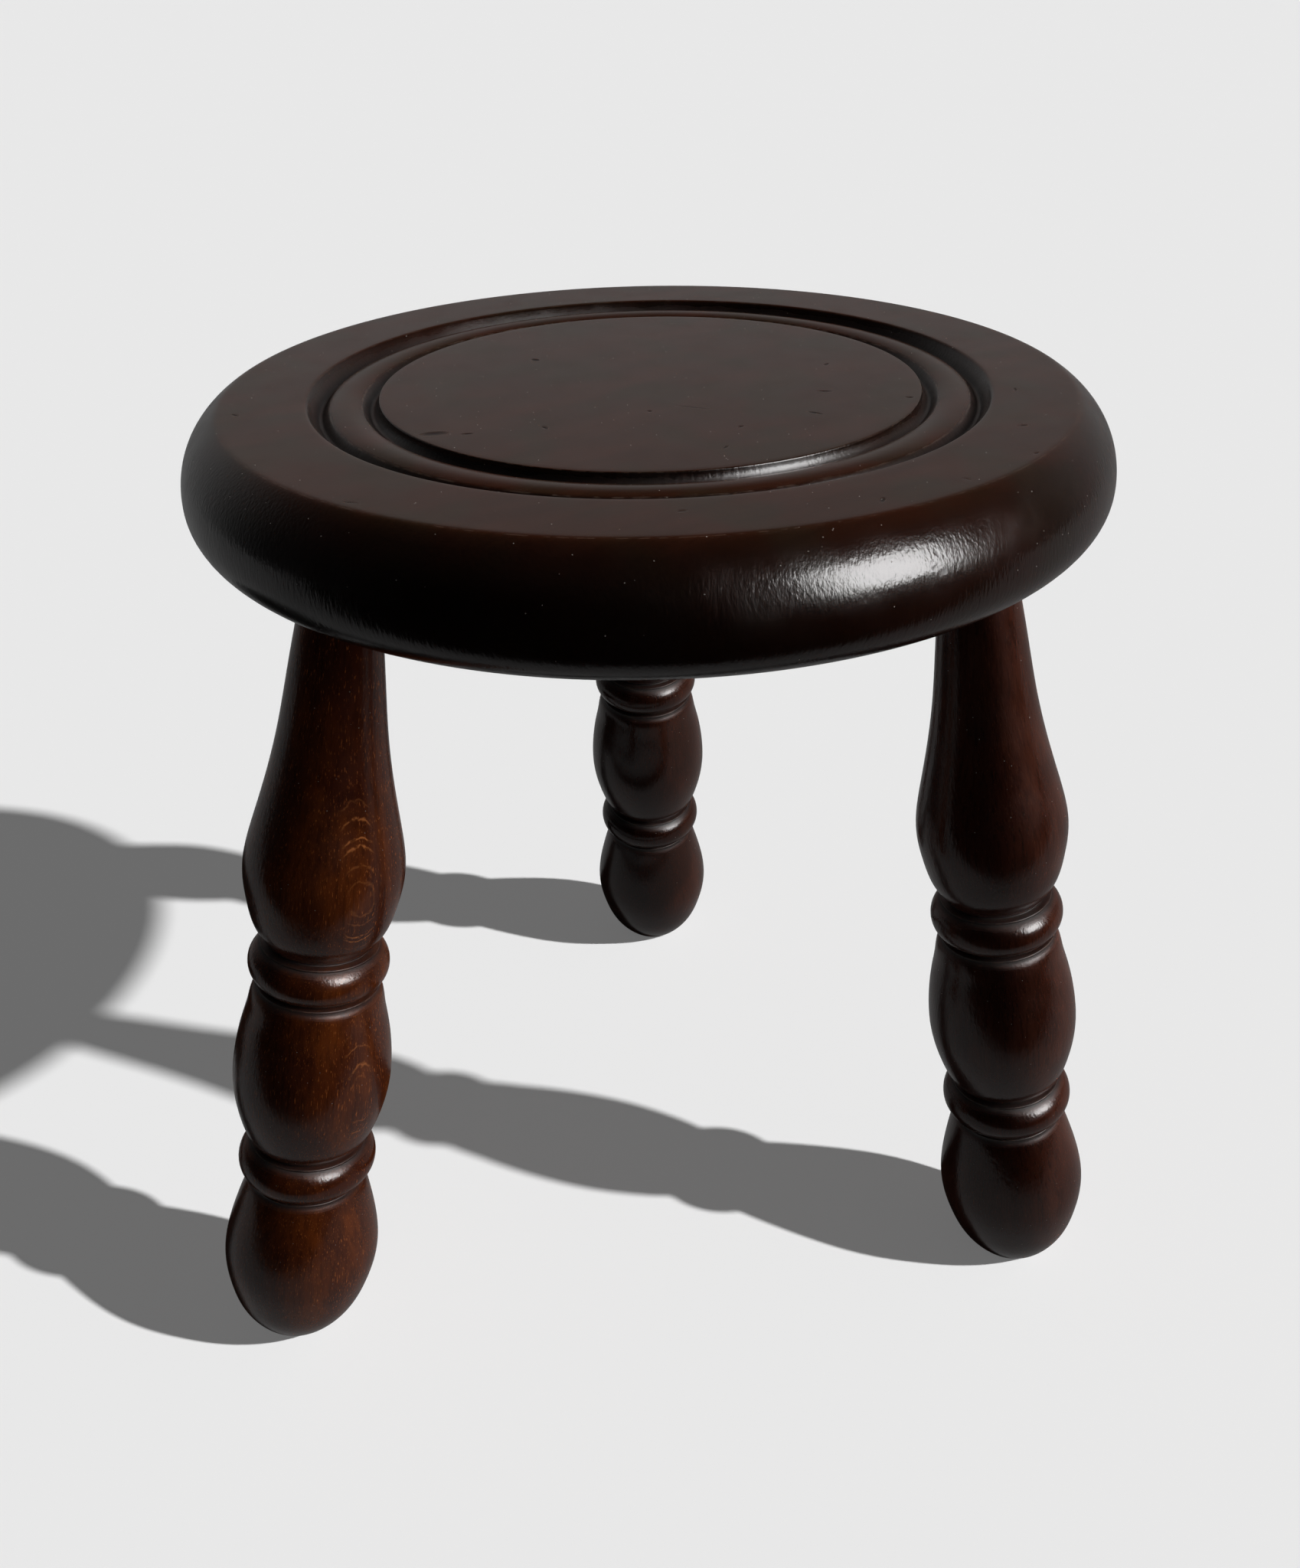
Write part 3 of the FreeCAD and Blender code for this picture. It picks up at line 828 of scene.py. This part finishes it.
@dataclass
class TurnedLeg:
    """One leg, turned between centres: tenon, baluster, bead, vase, bead and egg-shaped foot.

    Its own frame lies on its axis at the seat's underside, Z up the axis and X to the outside.
    Stations are measured down the axis from there. A flat fillet with a thin arris leads from
    each groove to the member under it.
    """

    name: LegName
    ring_radius: float = 103.4                  # stool's axis to a leg's, at the seat's underside
    tenon_radius: float = 10.0
    tenon_chamfer: float = 1.0
    tenon_shank: float = 3.0
    mortise_radius: float = 10.1
    mortise_level: float = 24.7                 # its highest edge, over the seat's underside
    mortise_end_gap: float = 1.0
    mortise_overrun: float = 6.0
    kerf_stop: float = 5.0                      # end of the saw cut, over the seat's underside
    kerf_tail: float = 3.0                      # its even stretch, past the wedge's tip
    kerf_width: float = 1.0
    kerf_mouth: float = 3.0
    kerf_azimuth: float = 30.0                  # way that the wedge opens it, about the stool's Z
    baluster_length: float = 122.8
    vase_top: float = 141.8
    vase_length: float = 65.4
    foot_top: float = 223.2
    foot_length: float = 78.4
    baluster_belly: float = 24.5                # radii from here on
    vase_belly: float = 25.7
    foot_belly: float = 26.2
    toe: float = 2.0
    upper_bead_at: float = 134.1
    upper_bead: float = 22.25
    upper_bead_bend: float = 7.8                # radius of the bead's own round
    lower_bead_at: float = 215.1
    lower_bead: float = 23.05
    lower_bead_bend: float = 8.3
    bead_reach: float = 58.0                    # degrees of the round, each way from its crown
    vase_start: Pair = (19.5, 142.5)            # radius and station
    foot_start: Pair = (19.0, 223.9)
    neck_soft: float = 1.5                      # rounding where the neck spreads from the shank
    fillet_width: float = 0.6
    fillet_lip: float = 0.06
    fillet_soft: Pair = (0.25, 0.28)            # rounding of its two edges
    groove_depth: float = 2.3                   # from a fillet's arris in to the groove's bottom
    groove_fall: float = 0.65                   # from the bottom down to that arris
    facets: int = 120

    BALUSTER_SHARES = ((0.19, 0.55), (0.40, 0.62), (0.63, 0.87), (0.77, 1.045), (0.87, 0.96),
                       (0.945, 0.88), (0.98, 0.76))
    VASE_SHARES = ((0.045, 0.825), (0.14, 0.84), (0.29, 0.955), (0.60, 1.035), (0.82, 0.91),
                   (0.93, 0.82), (0.975, 0.74))
    FOOT_SHARES = ((0.04, 0.78), (0.16, 0.885), (0.415, 1.059), (0.60, 0.95), (0.78, 0.79),
                   (0.93, 0.38))

    def __post_init__(self) -> None:
        """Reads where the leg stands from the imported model."""
        mounts = {mount["name"]: mount for mount in frame["record"]["mounts"]}
        self.foot = Vector(mounts[f"{self.name.value}_foot"]["pos_m"])
        self.azimuth = math.degrees(math.atan2(self.foot.y, self.foot.x))
        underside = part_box("seat")[0].z
        shoulder = polar(self.ring_radius * MM, self.azimuth, underside)
        axis = (shoulder - self.foot).normalized()
        self.lie = axes_matrix(shoulder, axis, polar(1, self.azimuth))
        lean = self.mortise_radius * math.hypot(axis.x, axis.y)
        self.mortise_depth = (self.mortise_level - lean) / axis.z
        self.tenon_end = self.mortise_depth - self.mortise_end_gap

    def poles(self, shares: tuple[Pair, ...], top: float, length: float,
              belly: float) -> list[Pair]:
        """A long curve's poles, from their shares of its length under its top and of its belly."""
        return [(out * belly, -(top + along * length)) for along, out in shares]

    def groove(self, radius: float, station: float) -> Pair:
        """The bottom of the groove over a member that starts there, as a radius and a height."""
        return (radius + self.fillet_lip - self.groove_depth,
                -(station - self.fillet_width - self.groove_fall))

    def add_fillet(self, section: Outline, radius: float, station: float) -> None:
        """Draws the way from a groove's bottom out over its fillet to the next member.

        Args:
            section: the section, drawn as far as the bottom.
            radius: the member's radius at its start.
            station: where it starts.
        """
        upper_soft, lower_soft = self.fillet_soft
        section.line(radius + self.fillet_lip, -(station - self.fillet_width), steps=3,
                     soft=upper_soft)
        section.line(radius, -station, steps=2, soft=lower_soft)

    def bead_span(self, bend: float) -> Pair:
        """How far a bead's round stands out past its ends, and how far each is from its middle."""
        reach = math.radians(self.bead_reach)
        return bend * (1 - math.cos(reach)), bend * math.sin(reach)

    def add_bead(self, section: Outline, crown: float, station: float, bend: float) -> None:
        """Draws a bead with the fillet over it.

        Args:
            section: the section, drawn as far as the groove's bottom.
            crown: the bead's radius at its middle.
            station: where its middle is.
            bend: the radius of its round.
        """
        rise, half = self.bead_span(bend)
        self.add_fillet(section, crown - rise, station - half)
        section.bulge(crown - rise, -(station + half), rise, steps=22)

    def outline(self) -> Outline:
        """Draws the leg's half section.

        Returns:
            The section, from the tenon's end down to the toe.
        """
        upper_rise, upper_half = self.bead_span(self.upper_bead_bend)
        lower_rise, lower_half = self.bead_span(self.lower_bead_bend)
        toe_at = self.foot_top + self.foot_length
        section = Outline((0, self.tenon_end))
        section.line(self.tenon_radius - self.tenon_chamfer, self.tenon_end, steps=2)
        section.line(self.tenon_radius, self.tenon_end - self.tenon_chamfer)
        section.line(self.tenon_radius, -self.tenon_shank, steps=6)
        section.sweep(self.poles(self.BALUSTER_SHARES, self.tenon_shank, self.baluster_length,
                                 self.baluster_belly),
                      *self.groove(self.upper_bead - upper_rise, self.upper_bead_at - upper_half),
                      steps=64, soft=self.neck_soft)
        self.add_bead(section, self.upper_bead, self.upper_bead_at, self.upper_bead_bend)
        section.line(*self.groove(*self.vase_start), steps=2)
        self.add_fillet(section, *self.vase_start)
        section.sweep(self.poles(self.VASE_SHARES, self.vase_top, self.vase_length,
                                 self.vase_belly),
                      *self.groove(self.lower_bead - lower_rise, self.lower_bead_at - lower_half),
                      steps=44)
        self.add_bead(section, self.lower_bead, self.lower_bead_at, self.lower_bead_bend)
        section.line(*self.groove(*self.foot_start), steps=2)
        self.add_fillet(section, *self.foot_start)
        section.sweep(self.poles(self.FOOT_SHARES, self.foot_top, self.foot_length,
                                 self.foot_belly), self.toe, -toe_at, steps=48)
        section.line(0, -toe_at)
        return section

    def saw_foot(self, piece: bpy.types.Object) -> None:
        """Cuts the toe level with the floor and closes the cut.

        Args:
            piece: the leg, in its place.
        """
        select_only(piece)
        bpy.ops.object.mode_set(mode="EDIT")
        bpy.ops.mesh.select_all(action="SELECT")
        bpy.ops.mesh.bisect(plane_co=self.foot, plane_no=-UP, clear_outer=True, use_fill=True,
                            threshold=0.001 * MM)
        bpy.ops.object.mode_set(mode="OBJECT")

    def saw_kerf(self, piece: bpy.types.Object) -> None:
        """Splits the tenon for its wedge.

        Args:
            piece: the leg, while it still lies in its own frame.
        """
        past_end = self.tenon_end + self.tenon_chamfer
        taper_start = self.kerf_stop + self.kerf_tail
        flare = (self.kerf_mouth - self.kerf_width) / (self.tenon_end - taper_start)
        mouth = self.kerf_width + flare * (past_end - taper_start)
        deselect_all()
        bpy.ops.mesh.primitive_plane_add(size=MM, location=(0, 0, self.kerf_stop * MM))
        saw = bpy.context.object
        bpy.ops.object.transform_apply(location=True)
        bpy.ops.object.mode_set(mode="EDIT")
        bpy.ops.transform.resize(value=(self.kerf_width, 4 * self.tenon_radius, 1))
        bpy.ops.mesh.extrude_region_move(
            TRANSFORM_OT_translate={"value": (0, 0, self.kerf_tail * MM)})
        bpy.ops.mesh.extrude_region_move(
            TRANSFORM_OT_translate={"value": (0, 0, (past_end - taper_start) * MM)})
        bpy.ops.transform.resize(value=(mouth / self.kerf_width, 1, 1))
        bpy.ops.mesh.select_all(action="SELECT")
        bpy.ops.mesh.normals_make_consistent(inside=False)
        bpy.ops.object.mode_set(mode="OBJECT")
        turn = math.radians(self.kerf_azimuth - self.azimuth)
        saw.data.transform(Matrix.Rotation(turn, 4, "Z"))
        cut_away(piece, saw)

    def bore_mortise(self, seat: bpy.types.Object) -> None:
        """Bores the blind hole for this leg's tenon, along the leg's axis.

        Args:
            seat: the turned seat.
        """
        deselect_all()
        depth = self.mortise_depth + self.mortise_overrun
        bpy.ops.mesh.primitive_cylinder_add(
            vertices=96, radius=self.mortise_radius * MM, depth=depth * MM,
            location=(0, 0, (self.mortise_depth - depth / 2) * MM))
        drill = bpy.context.object
        bpy.ops.object.transform_apply(location=True)
        drill.data.transform(self.lie)
        cut_away(seat, drill)

    def build(self, finish: StainedBeech) -> bpy.types.Object:
        """Turns the leg, stands it in place and dresses it.

        Args:
            finish: the wood and its stain.

        Returns:
            The leg.
        """
        piece = turn_on_lathe(f"turned_{self.name.value}_leg", self.outline(), self.facets)
        self.saw_kerf(piece)
        piece.data.transform(self.lie)
        self.saw_foot(piece)
        material = finish.dress(f"stained_beech_{self.name.value}_leg", self.lie, self.lie)
        finish_piece(piece, f"{self.name.value}_leg", material)
        return piece


@dataclass
class TurnedSeat:
    """The seat, turned on a faceplate, with a ring moulding sunk in its top."""

    edge_top_swell: float = 13.0
    edge_bottom_swell: float = 12.0
    edge_widest_depth: float = 21.5
    rim_width: float = 25.0
    rim_arris: float = 0.9
    rim_outer_soft: float = 1.2                 # rounding of the corner, each way, as other softs
    outer_wall_run: float = 3.6
    groove_depth: float = 4.2
    groove_floor: float = 1.4
    groove_floor_dip: float = 0.3
    bead_flank: float = 2.6
    bead_width: float = 9.5
    bead_edge_depth: float = 2.1
    bead_crown: float = 0.8
    bead_soft: float = 0.6
    inner_wall_run: float = 2.3
    disc_arris: float = 0.5
    disc_cove: float = 0.42
    corner_share: float = 0.55
    grain_azimuth: float = 30.0
    facets: int = 320

    # On the disc, on the rim and in one cluster on the edge: place, length, width, depth, azimuth
    KNOCKS = tuple(Knock(*knock) for knock in (
        ((-37, 27, 0), 4.0, 2.4, 0.16, -50), ((55, 15, 0), 3.6, 1.5, 0.15, 60),
        ((51, -14, 0), 5.5, 1.0, 0.12, -10), ((46, -35, 0), 5.5, 1.6, 0.10, -35),
        ((-1, -30, 0), 2.0, 1.4, 0.15, -30), ((-30, -43, 0), 3.4, 1.6, 0.16, -60),
        ((24, -46, 0), 2.6, 1.4, 0.15, 50), ((19, -63, 0), 3.4, 1.0, 0.10, 60),
        ((-60, -46, 0), 8.5, 3.6, 0.12, 8), ((-51, -47, 0), 4.2, 1.3, 0.14, 5),
        ((75, -22, 0), 2.8, 1.3, 0.18, -8), ((11, -27, 0), 14.0, 0.8, 0.05, -25),
        ((72, -45, 0), 8.0, 2.4, 0.06, -5), ((-73, -100, 0.8), 5.0, 1.0, 0.10, -18),
        ((6, -111, 0.8), 3.0, 1.1, 0.14, 12), ((54, -107, 0.8), 4.0, 1.6, 0.18, 70),
        ((99, -76, 0.8), 2.6, 1.1, 0.14, 30), ((107, -19, 0.8), 3.6, 1.2, 0.12, 80),
        ((-118, -28, 0.8), 4.0, 1.2, 0.12, -40), ((77, -94, 0.8), 3.0, 1.0, 0.12, -30),
        ((101, -53, 0.8), 4.0, 1.4, 0.16, 10), ((65.1, -119.2, -8.1), 1.7, 1.9, 0.22, 29),
        ((64.1, -120.5, -9.3), 1.5, 1.7, 0.22, 28), ((64.4, -121.3, -10.9), 1.6, 1.8, 0.2, 28),
        ((66.2, -120.3, -10.9), 1.3, 1.5, 0.18, 29), ((67.2, -120.5, -12.1), 2.6, 2.2, 0.07, 29),
    ))

    def __post_init__(self) -> None:
        """Reads the seat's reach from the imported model."""
        low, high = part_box("seat")
        self.radius = high.x / MM
        self.rim = high.z / MM
        self.underside = low.z / MM

    def outline(self) -> Outline:
        """Draws the seat's half section.

        Returns:
            The section, from the middle of the top round to the underside.
        """
        widest = self.rim - self.edge_widest_depth
        rim_outer = self.radius - self.edge_top_swell
        rim_inner = rim_outer - self.rim_width
        outer_groove = rim_inner - self.outer_wall_run
        bead_outer = outer_groove - self.bead_flank
        bead_inner = bead_outer - self.bead_width
        inner_groove = bead_inner - self.bead_flank
        disc = inner_groove - self.inner_wall_run
        half_floor = self.groove_floor / 2
        floor = self.rim - self.groove_depth
        bead_edge = self.rim - self.bead_edge_depth
        section = Outline((0, 0))
        section.line(disc, 0, steps=32)
        section.bulge(inner_groove - half_floor, floor, -self.disc_cove, steps=6,
                      soft=self.disc_arris)
        section.bulge(inner_groove + half_floor, floor, -self.groove_floor_dip, steps=5)
        section.line(bead_inner, bead_edge, steps=3)
        section.bulge(bead_outer, bead_edge, self.bead_crown, steps=14, soft=self.bead_soft)
        section.line(outer_groove - half_floor, floor, steps=3, soft=self.bead_soft)
        section.bulge(outer_groove + half_floor, floor, -self.groove_floor_dip, steps=5)
        section.line(rim_inner, self.rim, steps=5)
        section.line(rim_outer, self.rim, steps=10, soft=self.rim_arris)
        section.bulge(self.radius, widest, self.swell_rise(widest), steps=26,
                      soft=self.rim_outer_soft)
        drop = widest - self.underside
        section.sweep([(self.radius, widest - self.corner_share * drop),
                       (self.radius - (1 - self.corner_share) * self.edge_bottom_swell,
                        self.underside)],
                      self.radius - self.edge_bottom_swell, self.underside, steps=16)
        section.line(0, self.underside, steps=24)
        return section

    def swell_rise(self, widest: float) -> float:
        """How far the edge's upper arc, upright at its lower end, bulges past its chord.

        Args:
            widest: the height at which the edge is widest.

        Returns:
            The rise of the arc's middle.
        """
        height, out = self.rim - widest, self.edge_top_swell
        bend = (height ** 2 + out ** 2) / (2 * out)
        half_chord = math.hypot(height, out) / 2
        return bend - math.sqrt(bend ** 2 - half_chord ** 2)

    def build(self, finish: StainedBeech, legs: list[TurnedLeg]) -> bpy.types.Object:
        """Turns the seat, bores it for the legs, knocks it about and dresses it.

        Args:
            finish: the wood and its stain.
            legs: the legs that it takes.

        Returns:
            The seat.
        """
        piece = turn_on_lathe("turned_seat", self.outline(), self.facets)
        for leg in legs:
            leg.bore_mortise(piece)
        press_knocks(piece, self.KNOCKS)
        grain = axes_matrix(Vector(), polar(1, self.grain_azimuth), UP)
        material = finish.dress("stained_beech_seat", Matrix.Identity(4), grain)
        finish_piece(piece, "seat", material)
        return piece


@dataclass(frozen=True)
class FarLamp:
    """A lamp so far off that its light is even: where it stands, how broad it looks, its power."""

    name: str
    azimuth: float
    elevation: float
    breadth: float
    strength: float


@dataclass
class Studio:
    """A pale floor and plain studio light, with dark flags that keep the varnish's gloss deep.

    The camera, gloss and glass see pale paper and a pale room. Matt surfaces see them darker, so
    that the stool's shaded sides stay as deep as in a large dark studio. A broad low light from
    the right, a softer one from over the back and a weak one from behind light the stool. A small
    hard one lights the floor, and gives it the stool's clear shadow.
    """

    FLOOR_LIGHT = FarLamp("floor_light", -18.5, 34.5, 1.3, 5.27)
    SIDE_LIGHT = FarLamp("side_light", 3.0, 15.0, 40.0, 3.6)
    TOP_LIGHT = FarLamp("top_light", 60.0, 60.0, 20.0, 2.6)
    BACK_LIGHT = FarLamp("back_light", 108.0, 6.0, 50.0, 1.6)

    paper: str = "E8E8E8"                       # the room, and the floor in all its light
    paper_lit: str = "D9D9D9"                   # the part of the floor's light that shadow takes
    paper_glow: float = 0.128                   # the part that shadow leaves
    bounce: str = "5C5C5C"                      # the floor, as matt surfaces see it
    fill: float = 0.03                          # light from all round, on matt surfaces
    box_azimuth: float = -36.0
    box_elevation: float = 25.0
    box_distance: float = 1500.0
    box_size: Pair = (750.0, 700.0)
    box_power: float = 25.0
    flag_radius: float = 4000.0
    flag_black: float = 0.006                   # radiance of the cloth in front and overhead
    flag_side: float = 0.02                     # of its hem, all round
    flag_open: float = 0.2                      # of the wall that shows past it, low down behind
    hem_rise: Pair = (0.3, 0.75)                # parts of the way from the stool: up, where it ends
    side_turn: Pair = (-0.7, 0.1)               # along Y, from the cloth in front to its hem
    open_turn: Pair = (0.1, 0.8)                # and from the hem to the open wall behind
    card_grey: float = 0.18                     # under the stool and behind it
    card_edge: Pair = (-280.0, -200.0)          # along Y, where black turns to grey
    card_lift: float = 0.1
    floor_size: float = 60000.0

    def aim(self, azimuth: float, elevation: float) -> Matrix:
        """The turn of a lamp, its -Z along its light, from the side in degrees that it shines from."""
        away = polar(math.cos(math.radians(elevation)), azimuth,
                     math.sin(math.radians(elevation)))
        return away.to_track_quat("Z", "Y").to_matrix().to_4x4()

    def add_far_lamp(self, far: FarLamp, lit: list[bpy.types.Object]) -> None:
        """Adds a far lamp, which the gloss doesn't mirror.

        Args:
            far: the lamp.
            lit: what it lights. Everything casts a shadow in it.
        """
        light = bpy.data.lights.new(far.name, "SUN")
        light.energy = far.strength
        light.angle = math.radians(far.breadth)
        lamp = bpy.data.objects.new(far.name, light)
        lamp.matrix_world = self.aim(far.azimuth, far.elevation)
        lamp.visible_glossy = False
        bpy.context.scene.collection.objects.link(lamp)
        receivers = bpy.data.collections.new(f"lit_by_{far.name}")
        for piece in lit:
            receivers.objects.link(piece)
        lamp.light_linking.receiver_collection = receivers

    def add_softbox(self) -> None:
        """Adds the softbox that the gloss mirrors, from the front right."""
        lamp = bpy.data.lights.new("softbox", "AREA")
        lamp.shape = "RECTANGLE"
        lamp.size, lamp.size_y = (side * MM for side in self.box_size)
        lamp.energy = self.box_power
        box = bpy.data.objects.new("softbox", lamp)
        turn = self.aim(self.box_azimuth, self.box_elevation)
        box.matrix_world = turn @ Matrix.Translation((0, 0, self.box_distance * MM))
        box.visible_diffuse = False
        box.visible_camera = False
        bpy.context.scene.collection.objects.link(box)

    def shown(self, tree: Tree) -> Source:
        """Tells the rays that see a surface from those that light the object with it.

        Args:
            tree: the node tree to add to.

        Returns:
            One for what the camera, gloss or glass sees, and nothing for the rest.
        """
        ray = add_node(tree, "LightPath")
        seen = add_node(tree, "Math", {0: ray.outputs["Is Camera Ray"],
                                       1: ray.outputs["Is Glossy Ray"]}, operation="MAXIMUM")
        return add_node(tree, "Math", {0: seen, 1: ray.outputs["Is Transmission Ray"]},
                        operation="MAXIMUM")

    def light_room(self) -> None:
        """Lights the room evenly, and shows it as pale as the paper."""
        world = bpy.data.worlds.new("room")
        bpy.context.scene.world = world
        world.use_nodes = True
        tree = world.node_tree
        tree.nodes.clear()
        colour = add_node(tree, "Mix", {0: self.shown(tree), 6: (*[self.fill] * 3, 1.0),
                                        7: linear(self.paper)}, data_type="RGBA")
        light = add_node(tree, "Background", {"Color": colour.outputs[2]})
        add_node(tree, "OutputWorld", {"Surface": light})

    def show_in_gloss_only(self, flag: bpy.types.Object, name: str,
                           material: bpy.types.Material) -> None:
        """Makes a flag that only the varnish's gloss sees, so that it shades nothing.

        Args:
            flag: the cloth or card.
            name: its name.
            material: what it is made of.
        """
        flag.name = flag.data.name = name
        flag.data.materials.append(material)
        flag.visible_camera = False
        flag.visible_diffuse = False
        flag.visible_transmission = False
        flag.visible_shadow = False

    def turn_dim(self, tree: Tree, part: Source, bounds: Pair, levels: tuple) -> Source:
        """Eases a radiance from one level to another.

        Args:
            tree: the material's tree.
            part: what it changes with.
            bounds: where the change starts and ends.
            levels: the radiance there.

        Returns:
            The radiance.
        """
        start, end = bounds
        first, last = levels
        return add_node(tree, "MapRange", {"Value": part, "From Min": start, "From Max": end,
                                           "To Min": first, "To Max": last},
                        interpolation_type="SMOOTHSTEP")

    def hang_flags(self) -> None:
        """Hangs dark cloth all round the stool, open low down behind."""
        cloth, tree = new_material("black_flag_cloth")
        way = add_node(tree, "VectorMath", {0: add_node(tree, "TexCoord").outputs["Object"]},
                       operation="NORMALIZE")
        parts = add_node(tree, "SeparateXYZ", {0: way})
        low = self.turn_dim(tree, parts.outputs["Z"], self.hem_rise, (1.0, 0.0))
        behind = self.turn_dim(tree, parts.outputs["Y"], self.open_turn,
                               (self.flag_side, self.flag_open))
        ahead = self.turn_dim(tree, parts.outputs["Y"], self.side_turn, (self.flag_black, 1.0))
        hem = add_node(tree, "Math", {0: behind, 1: ahead}, operation="MULTIPLY")
        bright = add_node(tree, "MapRange", {"Value": low, "To Min": self.flag_black,
                                             "To Max": hem})
        glow = add_node(tree, "Emission", {"Color": bright})
        add_node(tree, "OutputMaterial", {"Surface": glow})
        deselect_all()
        bpy.ops.mesh.primitive_uv_sphere_add(radius=self.flag_radius * MM, segments=48,
                                             ring_count=24)
        self.show_in_gloss_only(bpy.context.object, "black_flags", cloth)

    def lay_card(self, level: float) -> bpy.types.Object:
        """Lays a dark card under the stool, as wide as the flags, for its gloss to mirror.

        Args:
            level: the floor's height in metres.

        Returns:
            The card.
        """
        card, tree = new_material("dark_card")
        place = add_node(tree, "SeparateXYZ", {0: add_node(tree, "TexCoord").outputs["Object"]})
        edge = tuple(side * MM for side in self.card_edge)
        grey = self.turn_dim(tree, place.outputs["Y"], edge, (0.0, self.card_grey))
        matt = add_node(tree, "BsdfDiffuse", {"Color": grey, "Roughness": 0.0})
        add_node(tree, "OutputMaterial", {"Surface": matt})
        deselect_all()
        bpy.ops.mesh.primitive_circle_add(vertices=64, radius=self.flag_radius * MM,
                                          fill_type="NGON",
                                          location=(0, 0, level + self.card_lift * MM))
        sheet = bpy.context.object
        self.show_in_gloss_only(sheet, "dark_card", card)
        return sheet

    def lay_floor(self, level: float) -> bpy.types.Object:
        """Lays a sheet of matt paper under the stool.

        Args:
            level: the floor's height in metres.

        Returns:
            The floor.
        """
        deselect_all()
        bpy.ops.mesh.primitive_plane_add(size=self.floor_size * MM, location=(0, 0, level))
        floor = bpy.context.object
        floor.name = floor.data.name = "paper_floor"
        material, tree = new_material("matt_paper")
        pale = add_node(tree, "BsdfDiffuse", {"Color": linear(self.paper_lit), "Roughness": 0.0})
        glow = add_node(tree, "Emission", {"Strength": self.paper_glow})
        paper = add_node(tree, "AddShader", {0: pale, 1: glow})
        dim = add_node(tree, "BsdfDiffuse", {"Color": linear(self.bounce), "Roughness": 0.0})
        surface = add_node(tree, "MixShader", {0: self.shown(tree), 1: dim,
                                               2: paper})
        add_node(tree, "OutputMaterial", {"Surface": surface})
        floor.data.materials.append(material)
        return floor

    def set_up(self, level: float, stool: list[bpy.types.Object]) -> None:
        """Sets up the lights, the flags and the floor.

        Args:
            level: the floor's height in metres.
            stool: all its pieces.
        """
        self.light_room()
        self.add_softbox()
        self.hang_flags()
        self.add_far_lamp(self.FLOOR_LIGHT, [self.lay_card(level), self.lay_floor(level)])
        for far in (self.SIDE_LIGHT, self.TOP_LIGHT, self.BACK_LIGHT):
            self.add_far_lamp(far, stool)
        bpy.context.scene.view_settings.view_transform = "Standard"


@dataclass
class Viewpoint:
    """The camera, where the photograph's perspective puts it."""

    back: float = 412.0                         # along -Y from the stool's axis
    height: float = 115.1
    yaw: float = 2.82                           # to the right of +Y
    pitch: float = -33.56                       # up from level
    roll: float = -0.40
    sensor: float = 36.0
    lens: float = 30.69
    shift: Pair = (-0.0458, 0.0188)
    clip: Pair = (10.0, 100000.0)

    def set_up(self) -> None:
        """Adds the camera and makes it the scene's."""
        eye = bpy.data.cameras.new("photo_camera")
        eye.sensor_width = self.sensor
        eye.lens = self.lens
        eye.shift_x, eye.shift_y = self.shift
        eye.clip_start, eye.clip_end = (distance * MM for distance in self.clip)
        camera = bpy.data.objects.new("photo_camera", eye)
        camera.matrix_world = Matrix.Translation(Vector((0, -self.back, self.height)) * MM)
        for angle, axis in ((-self.yaw, "Z"), (90 + self.pitch, "X"), (self.roll, "Z")):
            camera.matrix_world @= Matrix.Rotation(math.radians(angle), 4, axis)
        bpy.context.scene.collection.objects.link(camera)
        bpy.context.scene.camera = camera


# Each piece has its own colours: the left front leg the lightest and warmest, the rear leg the darkest
# the seat's steep faces are painted darker, as shade
SEAT_FINISH = StainedBeech(deep="0A0403", ground="2B150B", warm="31180E", late_wood="44281A",
                           worn="5A4A40", cast="251C11", ray_size=(0.4, 6.0), ray_strength=0.1,
                           streak_strength=0.2, patch_size=(14, 60), recess_reach=2.6,
                           groove_dullness=0.22, end_grain_strength=0.55, steep_face_shade_strength=0.6)
LEFT_LEG_FINISH = StainedBeech(deep="140502", ground="4A210E", warm="66300F", late_wood="B4642E",
                               worn="7A5440", cast="3A160C", figure=RingFigure(azimuth=82.0),
                               ray_strength=0.7, worn_strength=0.25)
RIGHT_LEG_FINISH = StainedBeech(deep="100603", ground="3C1B10", warm="4A261A", late_wood="8A4C30",
                                worn="7A5440", cast="301710", ray_strength=0.2, worn_strength=0.25)
REAR_LEG_FINISH = StainedBeech(deep="0C0402", ground="301409", warm="3E1E12", late_wood="7A4028",
                               worn="7A5440", cast="26120A", ray_strength=0.2, worn_strength=0.25)


def dress_wedges() -> list[bpy.types.Object]:
    """Gives the hidden wedges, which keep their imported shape, their bare wood.

    Returns:
        The wedges.
    """
    material = SplitBeech().dress("split_beech_wedge")
    wedges = [frame["nodes"][f"{leg.value}_tenon_wedge"] for leg in LegName]
    for wedge in wedges:
        wedge.data.materials.clear()
        wedge.data.materials.append(material)
        LOG.info("%s: keeps its packed shape", wedge.name)
    return wedges


def main() -> None:
    """Builds the stool and its studio."""
    logging.basicConfig(level=logging.INFO, format="%(name)s: %(message)s")
    finishes = {LegName.LEFT_FRONT: LEFT_LEG_FINISH, LegName.RIGHT_FRONT: RIGHT_LEG_FINISH,
                LegName.REAR: REAR_LEG_FINISH}
    legs = [TurnedLeg(name) for name in LegName]
    pieces = [TurnedSeat().build(SEAT_FINISH, legs)]
    pieces += [leg.build(finishes[leg.name]) for leg in legs]
    pieces += dress_wedges()
    Studio().set_up(cad_box[0][2], pieces)
    Viewpoint().set_up()


if __name__ == "__main__":
    main()
